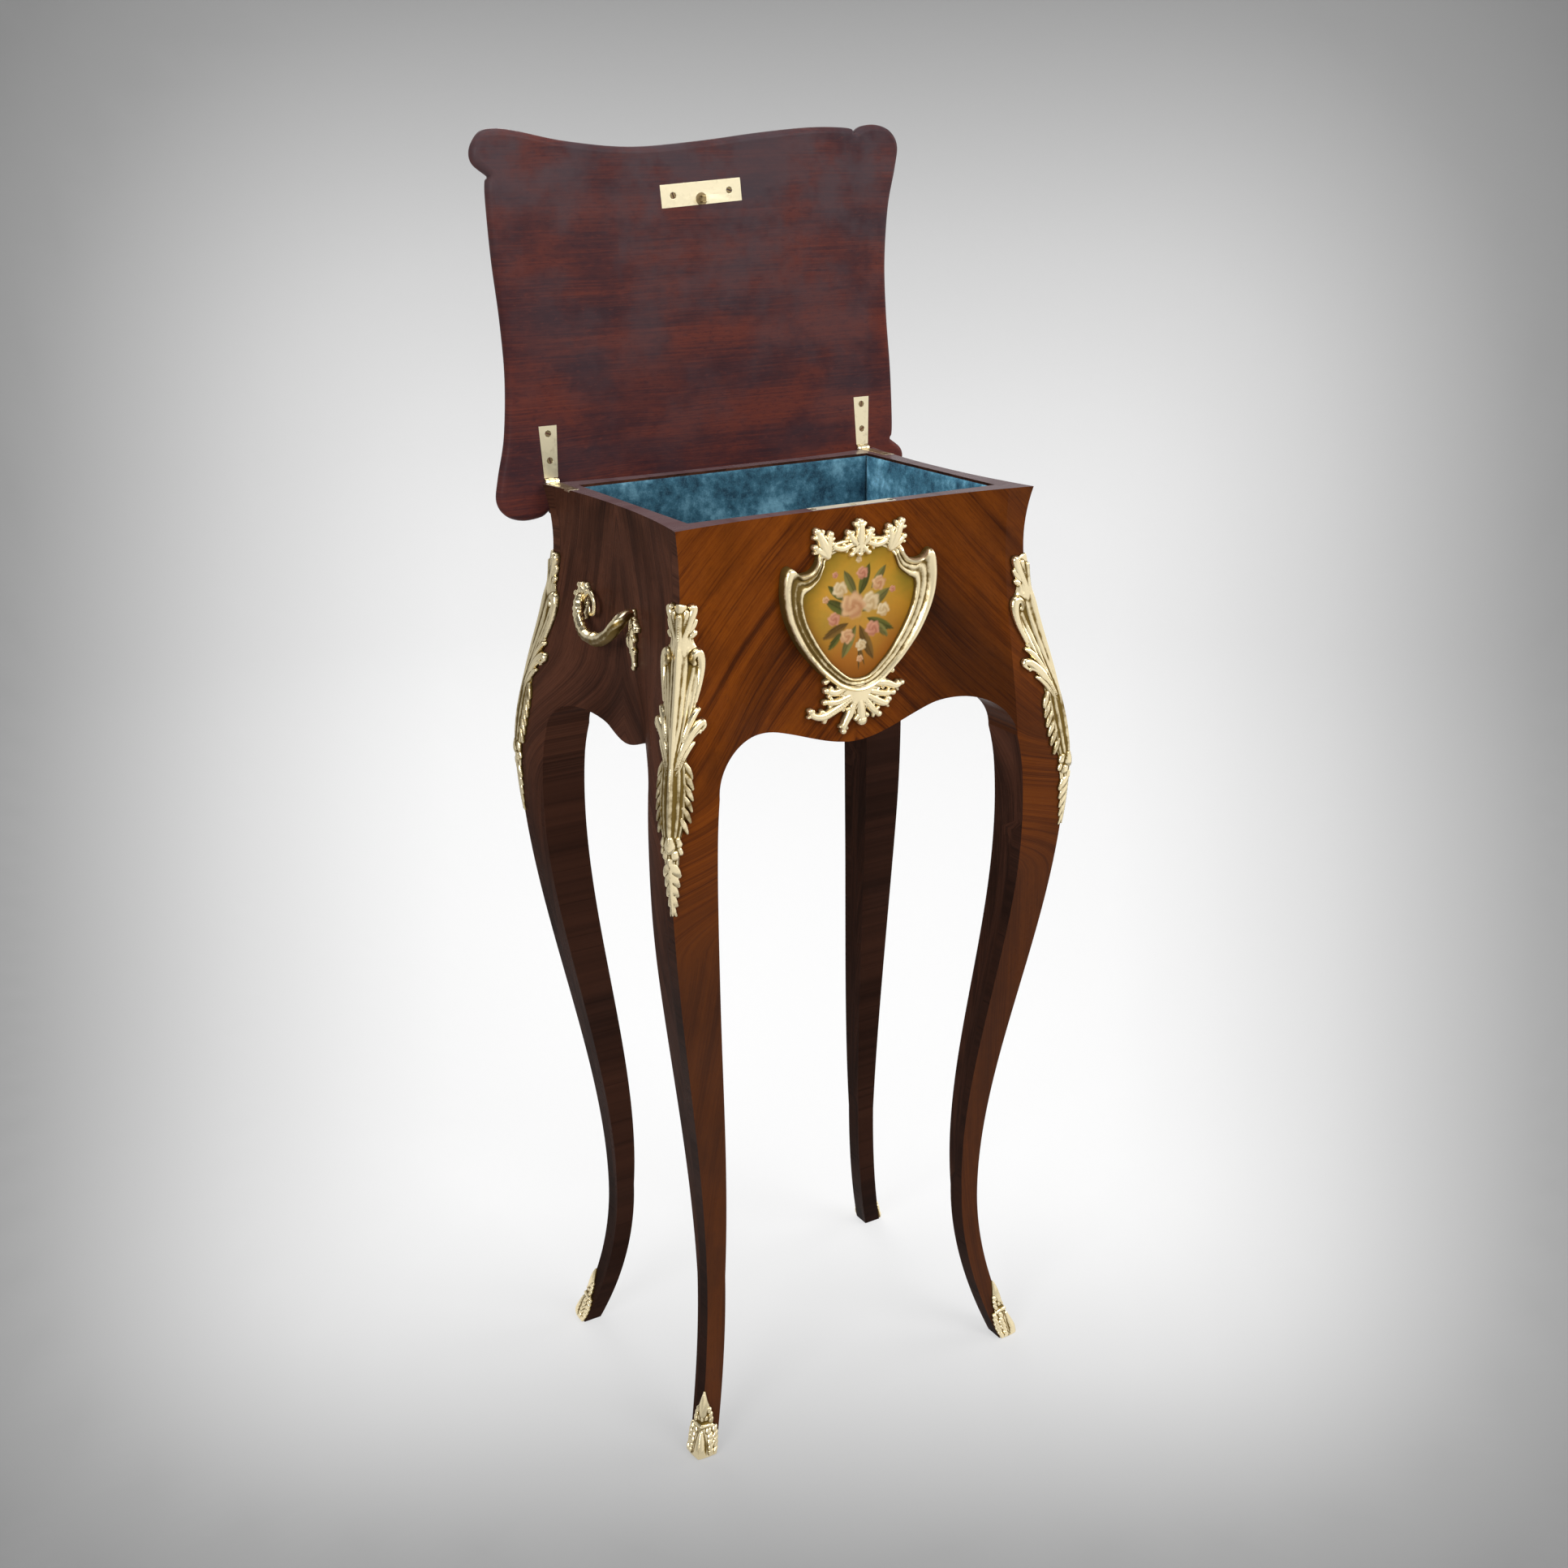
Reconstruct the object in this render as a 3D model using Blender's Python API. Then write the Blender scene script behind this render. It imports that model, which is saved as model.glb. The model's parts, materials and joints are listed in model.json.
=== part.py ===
"""Serpentine work table: cabriole legs, gilt mounts, a velvet-lined well and a hinged lid.

Metres, +Z up.  X runs left to right along the front, Y from front to back, and the origin
is on the floor under the middle of the case.  The lid stands open at rest.
"""
import math

import bmesh
import bpy
from mathutils import Matrix, Vector

# Clearances
GAP = 0.0003             # left between pieces that touch
RUN_GAP = 0.0006         # left round pieces that turn or slide

# Case
RIM_H = 0.740            # floor to the top of the rim
RIM_W = 0.300            # across the rim corners, left to right
RIM_D = 0.214            # across the rim corners, front to back
WALL = 0.0203            # rim corner to the inner wooden face
FACE_SET = 0.009         # the middle of each face stands in behind its corners
FACE_RUN = 0.100         # length over which a face curves in from its corner
FACE_TURN = 2.0          # how much later a face turns in at the knee than at the rim
WAIST_DOWN = 0.040       # rim to the hollow below it
WAIST_IN = 0.0045
KNEE_DOWN = 0.215        # rim to the knee
KNEE_OUT = 0.023
SQUARE_DOWN = 0.340      # rim to where the leg is plainly square
MEET_DOWN = 0.187        # rim to where the aprons meet the leg
FRONT_ARCH_DOWN = 0.153  # rim to the top of the arches, front and back
FRONT_DROP_DOWN = 0.174  # rim to the middle drop
FRONT_ARCH_RUN = 0.040
SIDE_ARCH_DOWN = 0.163
SIDE_DROP_DOWN = 0.178
SIDE_ARCH_RUN = 0.028

# Legs
ANKLE_UP = 0.140
ANKLE_IN = 0.0190
ANKLE_SIDE = 0.0162      # side of the square at the ankle
TOE_OUT = 0.0060
TOE_SIDE = 0.0155

# Well
FLOOR_DOWN = 0.128       # rim to the top of the bottom board
BOARD_T = 0.008
CLEAT_SIDE = 0.009
VELVET_T = 0.0018
VELVET_LOW = 0.0020      # the velvet stops this far below the rim

# Lid, its outline as shares of the half width and half depth, turned half round for the rest
LID_W = 0.368
LID_D = 0.282
LID_T = 0.0185
LID_FORWARD = 0.003      # the lid overhangs this much more in front than behind
LID_OPEN = math.radians(93.0)
LID_EAR_FRONT = (
    (-0.930, -0.765), (-0.990, -0.830), (-0.995, -0.905), (-0.955, -0.982), (-0.890, -1.000),
    (-0.790, -0.985), (-0.590, -0.935), (-0.310, -0.902), (0.000, -0.925), (0.300, -0.965),
    (0.560, -0.990), (0.745, -0.985), (0.775, -0.962),
)
LID_EAR_SIDE = (
    (0.775, -0.962), (0.815, -0.992), (0.895, -1.000), (0.965, -0.965), (1.000, -0.885),
    (0.985, -0.760), (0.945, -0.550), (0.922, -0.250), (0.925, 0.050), (0.940, 0.350),
    (0.945, 0.620), (0.942, 0.735), (0.930, 0.765),
)
LID_EDGE = ((0.0040, 0.0), (0.0008, 0.0028), (0.0, 0.0065), (0.0012, 0.0100), (0.0046, 0.0108))
LID_CROWN_IN = 0.0095    # width of the moulding round the top face

# Hinges
HINGE_X = 0.1410
KNUCKLE_R = 0.0026
KNUCKLE_LEN = 0.0110
KNUCKLE_MID = 0.0044
PIN_R = 0.0011
LEAF_T = 0.0015
LID_LEAF_LEN = 0.042
LID_LEAF_TIP = 0.0147
LID_LEAF_ROOT = 0.0110
CASE_LEAF_LEN = 0.040
CASE_LEAF_W = 0.0090

# Screws
SCREW_HEAD_R = 0.0024
SCREW_SHANK_R = 0.0011
SCREW_HEAD_H = 0.0013
SCREW_LEN = 0.0085

# Lock and keep
LOCK_W = 0.060
LOCK_H = 0.036
LOCK_T = 0.0090
LOCK_WALL = 0.0012
SELVEDGE_W = 0.070
KEYHOLE_DOWN = 0.0215
KEYHOLE_R = 0.0021
KEYHOLE_SLOT = 0.0052
STAPLE_Y = 0.0050
STAPLE_X = 0.0024
STAPLE_LEN = 0.0100
STAPLE_WALL = 0.0010
BOLT_THROW = 0.008
BOLT_LEN = 0.012         # the bolt without its nose
BOLT_H = 0.0036
NOSE_SPARE = 0.0020      # nose left outside the bolt when it is thrown
NOSE_Y = 0.0018
SPRING_T = 0.0006
SPRING_TAIL = 0.0060
KEEP_W = 0.070
KEEP_D = 0.017
KEEP_T = 0.0015
KEEP_SKEW = math.radians(-3.5)
KEEP_AHEAD = 0.0045      # middle of the plate in front of the staple
KEEP_SCREW_X = 0.0245

# Corner mounts: distance down from the top, half width along each face, relief
CHUTE_DOWN = 0.050
CHUTE_EDGE = 0.0009
CHUTE = (
    (0.000, 0.0140, 0.0042), (0.020, 0.0125, 0.0030), (0.035, 0.0195, 0.0050),
    (0.058, 0.0175, 0.0036), (0.077, 0.0225, 0.0052), (0.100, 0.0165, 0.0038),
    (0.118, 0.0190, 0.0034), (0.142, 0.0150, 0.0030), (0.158, 0.0085, 0.0024),
    (0.167, 0.0105, 0.0036), (0.186, 0.0070, 0.0026), (0.214, 0.0014, 0.0013),
)

# Foot mounts: height above the floor, half width along each face, relief
SABOT = (
    (0.000, 0.0148, 0.0020), (0.008, 0.0146, 0.0032), (0.018, 0.0140, 0.0030),
    (0.028, 0.0120, 0.0028), (0.040, 0.0070, 0.0022), (0.052, 0.0012, 0.0012),
)

# Cartouche: matched points of the outer edge and the opening, right half, from its centre
CARTOUCHE_DOWN = 0.075
CARTOUCHE = (
    ((0.0000, 0.0680), (0.0000, 0.0450)), ((0.0120, 0.0610), (0.0080, 0.0455)),
    ((0.0240, 0.0610), (0.0160, 0.0450)), ((0.0385, 0.0650), (0.0240, 0.0420)),
    ((0.0395, 0.0530), (0.0290, 0.0380)), ((0.0340, 0.0430), (0.0305, 0.0345)),
    ((0.0440, 0.0345), (0.0340, 0.0270)), ((0.0560, 0.0400), (0.0410, 0.0210)),
    ((0.0635, 0.0320), (0.0470, 0.0170)), ((0.0655, 0.0180), (0.0475, 0.0090)),
    ((0.0620, 0.0000), (0.0440, -0.0040)), ((0.0520, -0.0200), (0.0360, -0.0190)),
    ((0.0380, -0.0370), (0.0260, -0.0330)), ((0.0270, -0.0460), (0.0180, -0.0410)),
    ((0.0440, -0.0640), (0.0120, -0.0460)), ((0.0400, -0.0770), (0.0080, -0.0485)),
    ((0.0220, -0.0760), (0.0040, -0.0496)), ((0.0100, -0.0870), (0.0020, -0.0500)),
    ((0.0000, -0.0920), (0.0000, -0.0500)),
)
CARTOUCHE_RISE = 0.0085
PLAQUE_T = 0.0020
PLAQUE_LAP = 0.0022
LIP_T = 0.0016

# Side handles: along the side towards the back, up from the back stud, out from the face, radius
HANDLE_DOWN = 0.077
HANDLE_BACK = (0.0480, 0.0000)
HANDLE_FRONT = (-0.0265, 0.0030)
HANDLE_ROOT = ((0.0022, 0.0046), (0.0070, 0.0042))
HANDLE_BAR = (
    (0.0400, -0.0120, 0.0120, 0.0038), (0.0240, -0.0215, 0.0160, 0.0040),
    (0.0010, -0.0200, 0.0180, 0.0044), (-0.0170, -0.0125, 0.0175, 0.0046),
    (-0.0280, -0.0030, 0.0140, 0.0044),
)
HANDLE_LEAF_UP = ((0.0660, 0.0060), (0.0540, 0.0130), (0.0430, 0.0080), (0.0430, -0.0080), (0.0560, -0.0070))
HANDLE_LEAF_LOW = (
    (-0.0270, 0.0100), (-0.0190, 0.0010), (-0.0160, -0.0130), (-0.0230, -0.0400), (-0.0310, -0.0230),
    (-0.0350, -0.0080), (-0.0340, 0.0040),
)
HANDLE_LEAF_T = 0.0030
STUD_R = 0.0019
NUT_R = 0.0042
NUT_T = 0.0030

# Mesh steps
LEG_FACE_STEPS = 3
ROUND_SIDES = 12
SCREW_SIDES = 8
NUT_SIDES = 6
LID_STEPS = 2
OVER = 0.004             # how far a cutter runs past the face that it opens

FINISHES = {
    "veneer": ((0.155, 0.052, 0.021), 0.22, 0.0),
    "dark veneer": ((0.050, 0.017, 0.012), 0.24, 0.0),
    "mahogany": ((0.085, 0.020, 0.015), 0.34, 0.0),
    "secondary wood": ((0.180, 0.110, 0.060), 0.60, 0.0),
    "gilt bronze": ((0.800, 0.640, 0.330), 0.28, 1.0),
    "brass": ((0.780, 0.680, 0.420), 0.32, 1.0),
    "steel": ((0.420, 0.410, 0.400), 0.40, 1.0),
    "velvet": ((0.016, 0.105, 0.150), 0.95, 0.0),
    "painted plaque": ((0.420, 0.280, 0.070), 0.20, 0.0),
}

HINGE_Y = RIM_D / 2 + KNUCKLE_R + RUN_GAP
POST_X = RIM_W / 2 - WALL
POST_Y = RIM_D / 2 - WALL
LOCK_Y = -POST_Y - LOCK_T / 2
CORNERS = {
    "front_left": (-1, -1), "front_right": (1, -1), "back_left": (-1, 1), "back_right": (1, 1),
}
SIDES = {"left": -1, "right": 1}


# Curves


def ease(t):
    """Smooth step from 0 to 1, held flat outside."""
    t = min(max(t, 0.0), 1.0)
    return t * t * (3.0 - 2.0 * t)


def corner_out(z):
    """Distance of the corner line outside the rim corner, along each axis, at a height."""
    down = RIM_H - z
    if down < WAIST_DOWN:
        return -WAIST_IN * (1.0 - (1.0 - down / WAIST_DOWN) ** 2)
    if down < KNEE_DOWN:
        share = ease((down - WAIST_DOWN) / (KNEE_DOWN - WAIST_DOWN))
        return -WAIST_IN + (KNEE_OUT + WAIST_IN) * share
    if z > ANKLE_UP:
        share = ease((down - KNEE_DOWN) / (RIM_H - KNEE_DOWN - ANKLE_UP))
        return KNEE_OUT - (KNEE_OUT + ANKLE_IN) * share
    return -ANKLE_IN + (ANKLE_IN + TOE_OUT) * (1.0 - z / ANKLE_UP) ** 2


def leg_side(z):
    """Side of the leg's square section at a height; above the aprons it backs onto the well."""
    meet = RIM_H - MEET_DOWN
    if z >= meet:
        return WALL + corner_out(z)
    if z > ANKLE_UP:
        share = (meet - z) / (meet - ANKLE_UP)
        return (WALL + corner_out(meet)) * (1.0 - share) + ANKLE_SIDE * share
    return ANKLE_SIDE + (TOE_SIDE - ANKLE_SIDE) * (1.0 - z / ANKLE_UP)


def face_out(rim_half, along, z):
    """Distance of a case face outside the rim corner, at a distance along from its middle."""
    corner = corner_out(z)
    reach = min(max((rim_half + corner - abs(along)) / FACE_RUN, 0.0), 1.0)
    turn = 1.0 + FACE_TURN * ease((RIM_H - z) / KNEE_DOWN)
    inward = 1.0 - (1.0 - reach ** turn) ** 2
    fade = ease((z - RIM_H + SQUARE_DOWN) / (SQUARE_DOWN - MEET_DOWN))
    return corner - (corner + FACE_SET) * inward * fade


def case_stations():
    """Heights of the mesh rows from just above the arches to the rim."""
    low = [FRONT_ARCH_DOWN - (FRONT_ARCH_DOWN - WAIST_DOWN) * k / 6 for k in range(1, 6)]
    high = [WAIST_DOWN * k / 3 for k in range(3, -1, -1)]
    return [RIM_H - down for down in low + high]


def leg_stations():
    """Heights of the mesh rows of a leg, floor to rim."""
    foot = [ANKLE_UP * k / 8 for k in range(8)]
    meet = RIM_H - MEET_DOWN
    shank = [ANKLE_UP + (meet - ANKLE_UP) * k / 13 for k in range(14)]
    arch = case_stations()[0]
    return foot + shank + [meet + (arch - meet) * k / 3 for k in range(1, 3)] + case_stations()


def spline(points, steps):
    """Points along a smooth curve through the given points, both ends included."""
    points = [Vector(p) for p in points]
    ends = [points[0] * 2 - points[1]] + points + [points[-1] * 2 - points[-2]]
    curve = []
    for i in range(1, len(ends) - 2):
        p0, p1, p2, p3 = ends[i - 1:i + 3]
        for k in range(steps):
            t = k / steps
            bend = (p0 * 2 - p1 * 5 + p2 * 4 - p3) * t * t + (p1 * 3 - p0 - p2 * 3 + p3) * t ** 3
            curve.append((p1 * 2 + (p2 - p0) * t + bend) / 2)
    return curve + [points[-1]]


def offset_loop(loop, distance):
    """A closed plane loop, given anticlockwise, moved outwards by a distance."""
    moved = []
    for i, point in enumerate(loop):
        chord = (loop[(i + 1) % len(loop)] - loop[i - 1]).normalized()
        moved.append(point + Vector((chord.y, -chord.x)) * distance)
    return moved


# Mesh builders


def loft(rows):
    """A closed solid through rows of matching loops, with a flat cap at each end."""
    bm = bmesh.new()
    rings = [[bm.verts.new(p) for p in row] for row in rows]
    count = len(rings[0])
    for low, high in zip(rings, rings[1:]):
        for i in range(count):
            bm.faces.new((low[i], low[(i + 1) % count], high[(i + 1) % count], high[i]))
    bm.faces.new(rings[0])
    bm.faces.new(rings[-1])
    return bm


def ring_solid(loops):
    """A closed ring through matching loops, the last joined to the first."""
    bm = bmesh.new()
    rings = [[bm.verts.new(p) for p in loop] for loop in loops]
    count = len(rings[0])
    for a, b in zip(rings, rings[1:] + rings[:1]):
        for i in range(count):
            bm.faces.new((a[i], a[(i + 1) % count], b[(i + 1) % count], b[i]))
    return bm


def slab(outer, inner, flat_back):
    """A closed solid between two grids of points; a flat back needs one face only."""
    bm = bmesh.new()
    cols, rows = len(outer), len(outer[0])
    rim = [(i, 0) for i in range(cols)] + [(cols - 1, j) for j in range(1, rows)]
    rim += [(i, rows - 1) for i in range(cols - 2, -1, -1)] + [(0, j) for j in range(rows - 2, 0, -1)]
    front = [[bm.verts.new(p) for p in col] for col in outer]
    cells = rim if flat_back else [(i, j) for i in range(cols) for j in range(rows)]
    back = {(i, j): bm.verts.new(inner[i][j]) for i, j in cells}
    for i in range(cols - 1):
        for j in range(rows - 1):
            bm.faces.new((front[i][j], front[i + 1][j], front[i + 1][j + 1], front[i][j + 1]))
            if not flat_back:
                bm.faces.new((back[i, j], back[i, j + 1], back[i + 1, j + 1], back[i + 1, j]))
    if flat_back:
        bm.faces.new([back[cell] for cell in reversed(rim)])
    for a, b in zip(rim, rim[1:] + rim[:1]):
        bm.faces.new((front[a[0]][a[1]], back[a], back[b], front[b[0]][b[1]]))
    return bm


def box(low, high):
    """A box between two corners."""
    bm = bmesh.new()
    size = Vector(high) - Vector(low)
    middle = (Vector(high) + Vector(low)) / 2
    bmesh.ops.create_cube(bm, size=1.0, matrix=Matrix.Translation(middle) @ Matrix.Diagonal((*size, 1.0)))
    return bm


def turned(profile, place, sides=ROUND_SIDES):
    """A turned solid from radius and height pairs about a matrix's Z axis."""
    turns = [2.0 * math.pi * k / sides for k in range(sides)]
    return loft([[place @ Vector((r * math.cos(a), r * math.sin(a), h)) for a in turns] for r, h in profile])


def merged(parts):
    """Several separate solids in one mesh."""
    bm = bmesh.new()
    for part in parts:
        mesh = bpy.data.meshes.new("merge")
        part.to_mesh(mesh)
        part.free()
        bm.from_mesh(mesh)
        bpy.data.meshes.remove(mesh)
    return bm


def facing(point, direction):
    """A matrix at a point whose Z axis runs along a direction."""
    turn = Vector(direction).to_track_quat("Z", "Y").to_matrix().to_4x4()
    return Matrix.Translation(Vector(point)) @ turn


# Objects


def paint(obj, finish):
    colour, roughness, metallic = FINISHES[finish]
    material = bpy.data.materials.new(obj.name)
    material.use_nodes = True
    shader = material.node_tree.nodes["Principled BSDF"]
    shader.inputs["Base Color"].default_value = (*colour, 1.0)
    shader.inputs["Roughness"].default_value = roughness
    shader.inputs["Metallic"].default_value = metallic
    obj.data.materials.append(material)


def add(name, bm, finish, parent=None, origin=(0.0, 0.0, 0.0)):
    """One named piece; a moving piece keeps its origin, or its parent, on its joint's axis."""
    origin = parent.location if parent else Vector(origin)
    bm.transform(Matrix.Translation(-origin))
    bmesh.ops.recalc_face_normals(bm, faces=bm.faces)
    mesh = bpy.data.meshes.new(name)
    bm.to_mesh(mesh)
    bm.free()
    mesh.shade_smooth()
    mesh.set_sharp_from_angle(angle=math.radians(35.0))
    obj = bpy.data.objects.new(name, mesh)
    bpy.context.collection.objects.link(obj)
    if parent:
        obj.parent = parent
    else:
        obj.location = origin
    if finish:
        paint(obj, finish)
    return obj


def tool(name, bm, parent=None):
    """A hidden shape that cuts or joins another piece."""
    obj = add(name, bm, None, parent)
    obj.hide_render = True
    obj.display_type = "WIRE"
    return obj


def combine(obj, helper, operation):
    step = obj.modifiers.new(helper.name, "BOOLEAN")
    step.operation = operation
    step.solver = "EXACT"
    step.object = helper


def cut(obj, *helpers):
    for helper in helpers:
        combine(obj, helper, "DIFFERENCE")


def axis_empty(name, location, turn):
    empty = bpy.data.objects.new(name, None)
    bpy.context.collection.objects.link(empty)
    empty.location = location
    empty.rotation_euler = turn
    return empty


# Case


def leg_section(z):
    """Corner outline of a leg at a height, for the corner at +X +Y."""
    out = corner_out(z)
    side = leg_side(z)
    x_out, y_out = RIM_W / 2 + out, RIM_D / 2 + out
    steps = [side * k / LEG_FACE_STEPS for k in range(LEG_FACE_STEPS + 1)]
    front = [(x_out - d, RIM_D / 2 + face_out(RIM_W / 2, x_out - d, z)) for d in steps]
    flank = [(RIM_W / 2 + face_out(RIM_D / 2, y_out - d, z), y_out - d) for d in reversed(steps[1:])]
    return front + [(x_out - side, y_out - side)] + flank


def build_legs():
    legs = {}
    for corner, (sx, sy) in CORNERS.items():
        rows = [[(sx * x, sy * y, z) for x, y in leg_section(z)] for z in leg_stations()]
        finish = "veneer" if sy < 0 else "dark veneer"
        legs[corner] = add("leg_" + corner, loft(rows), finish)
    return legs


def apron_low(along, post, apron):
    """Height of an apron's lower edge at a distance along from its middle."""
    arch_down, drop_down, arch_run = apron
    arch = post - arch_run
    along = abs(along)
    if along < arch:
        return RIM_H - drop_down + (drop_down - arch_down) * ease(along / arch)
    fall = 1.0 - math.sqrt(max(0.0, 1.0 - ((along - arch) / arch_run) ** 2))
    return RIM_H - arch_down - (MEET_DOWN - arch_down) * fall


def panel_columns(post, arch_run):
    """Distances along a panel, closer together where the arch turns down to the leg."""
    arch = post - arch_run
    half = [arch * k / 5 for k in range(6)]
    half += [arch + arch_run * math.sin(math.pi / 2 * k / 5) for k in range(1, 6)]
    return [-a for a in reversed(half[1:])] + half


def panel_mesh(rim_half, post, apron, place):
    """A case panel: serpentine outside, flat inside, with the apron along its lower edge."""
    outer, inner = [], []
    reach = 1.0 - GAP / post
    for along in panel_columns(post, apron[2]):
        low = apron_low(along, post, apron)
        heights = [low, (low + case_stations()[0]) / 2] + case_stations()
        outer.append([place(along * reach, face_out(rim_half, along * reach, z), z) for z in heights])
        inner.append([place(along * reach, -WALL, z) for z in heights])
    return slab(outer, inner, flat_back=True)


def build_panels():
    def front(along, out, z):
        return Vector((along, -RIM_D / 2 - out, z))

    def back(along, out, z):
        return Vector((-along, RIM_D / 2 + out, z))

    def left(along, out, z):
        return Vector((-RIM_W / 2 - out, -along, z))

    def right(along, out, z):
        return Vector((RIM_W / 2 + out, along, z))

    long_apron = FRONT_ARCH_DOWN, FRONT_DROP_DOWN, FRONT_ARCH_RUN
    short_apron = SIDE_ARCH_DOWN, SIDE_DROP_DOWN, SIDE_ARCH_RUN
    return {
        "front": add("front_panel", panel_mesh(RIM_W / 2, POST_X, long_apron, front), "veneer"),
        "back": add("back_panel", panel_mesh(RIM_W / 2, POST_X, long_apron, back), "dark veneer"),
        "left": add("left_panel", panel_mesh(RIM_D / 2, POST_Y, short_apron, left), "dark veneer"),
        "right": add("right_panel", panel_mesh(RIM_D / 2, POST_Y, short_apron, right), "dark veneer"),
    }


def build_well():
    """Bottom board on two cleats, and the velvet-covered lining boards."""
    x, y = POST_X - GAP, POST_Y - GAP
    floor = RIM_H - FLOOR_DOWN
    add("bottom_board", box((-x, -y, floor - BOARD_T), (x, y, floor)), "secondary wood")
    cleat_top = floor - BOARD_T - GAP
    for name, sy in (("front", -1), ("back", 1)):
        near, far = sorted((sy * y, sy * (y - CLEAT_SIDE)))
        low, high = (-x, near, cleat_top - CLEAT_SIDE), (x, far, cleat_top)
        add("cleat_" + name, box(low, high), "secondary wood")
    add("lining_floor", box((-x, -y, floor + GAP), (x, y, floor + GAP + VELVET_T)), "velvet")
    low, high = floor + 2 * GAP + VELVET_T, RIM_H - VELVET_LOW
    for name, sy in (("front", -1), ("back", 1)):
        near, far = sorted((sy * y, sy * (y - VELVET_T)))
        add("lining_" + name, box((-x, near, low), (x, far, high)), "velvet")
    y_end = y - VELVET_T - GAP
    for name, sx in SIDES.items():
        near, far = sorted((sx * x, sx * (x - VELVET_T)))
        add("lining_" + name, box((near, -y_end, low), (far, y_end, high)), "velvet")


# Lid and hinges


def lid_outline():
    """The lid's edge in plan, anticlockwise: two serpentine runs, then the same turned half round."""
    runs = spline(LID_EAR_FRONT, LID_STEPS)[:-1] + spline(LID_EAR_SIDE, LID_STEPS)[:-1]
    half = [Vector((x * LID_W / 2, y * LID_D / 2)) for x, y in runs]
    return half + [-p for p in half]


def build_lid(lid_axis):
    outline = lid_outline()
    rows = []
    for inset, up in LID_EDGE + ((LID_CROWN_IN, LID_T),):
        loop = offset_loop(outline, -inset)
        rows.append([(p.x, p.y - LID_FORWARD, RIM_H + GAP + up) for p in loop])
    return add("lid_panel", loft(rows), "mahogany", lid_axis)


def screw_profile(grow):
    """Radius and depth along a countersunk screw, or along the hole that it needs."""
    return [
        (SCREW_HEAD_R + grow, 0.0), (SCREW_SHANK_R + grow, SCREW_HEAD_H + grow),
        (SCREW_SHANK_R + grow, SCREW_LEN + grow),
    ]


def screw_holes(points, direction):
    profile = [(SCREW_HEAD_R + GAP, -OVER)] + screw_profile(GAP)
    return merged([turned(profile, facing(p, direction), SCREW_SIDES) for p in points])


def add_screws(name, points, direction, parent=None):
    for number, point in enumerate(points, 1):
        screw = turned(screw_profile(0.0), facing(point, direction), SCREW_SIDES)
        add("%s_%d" % (name, number), screw, "brass", parent)


def knuckle(x_low, x_high, radius):
    """A round bar about the hinge axis between two places along X."""
    place = facing((x_low, HINGE_Y, RIM_H), (1, 0, 0))
    return turned([(radius, 0.0), (radius, x_high - x_low)], place)


def strap(length, tip, root, low, high, x_middle, grow=0.0):
    """A tapering leaf that runs forward from the hinge axis."""
    y_tip, y_root = HINGE_Y - length - grow, HINGE_Y
    plan = [
        (x_middle - tip / 2 - grow, y_tip), (x_middle + tip / 2 + grow, y_tip),
        (x_middle + root / 2 + grow, y_root), (x_middle - root / 2 - grow, y_root),
    ]
    return loft([[(x, y, z) for x, y in plan] for z in (low, high)])


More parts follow.
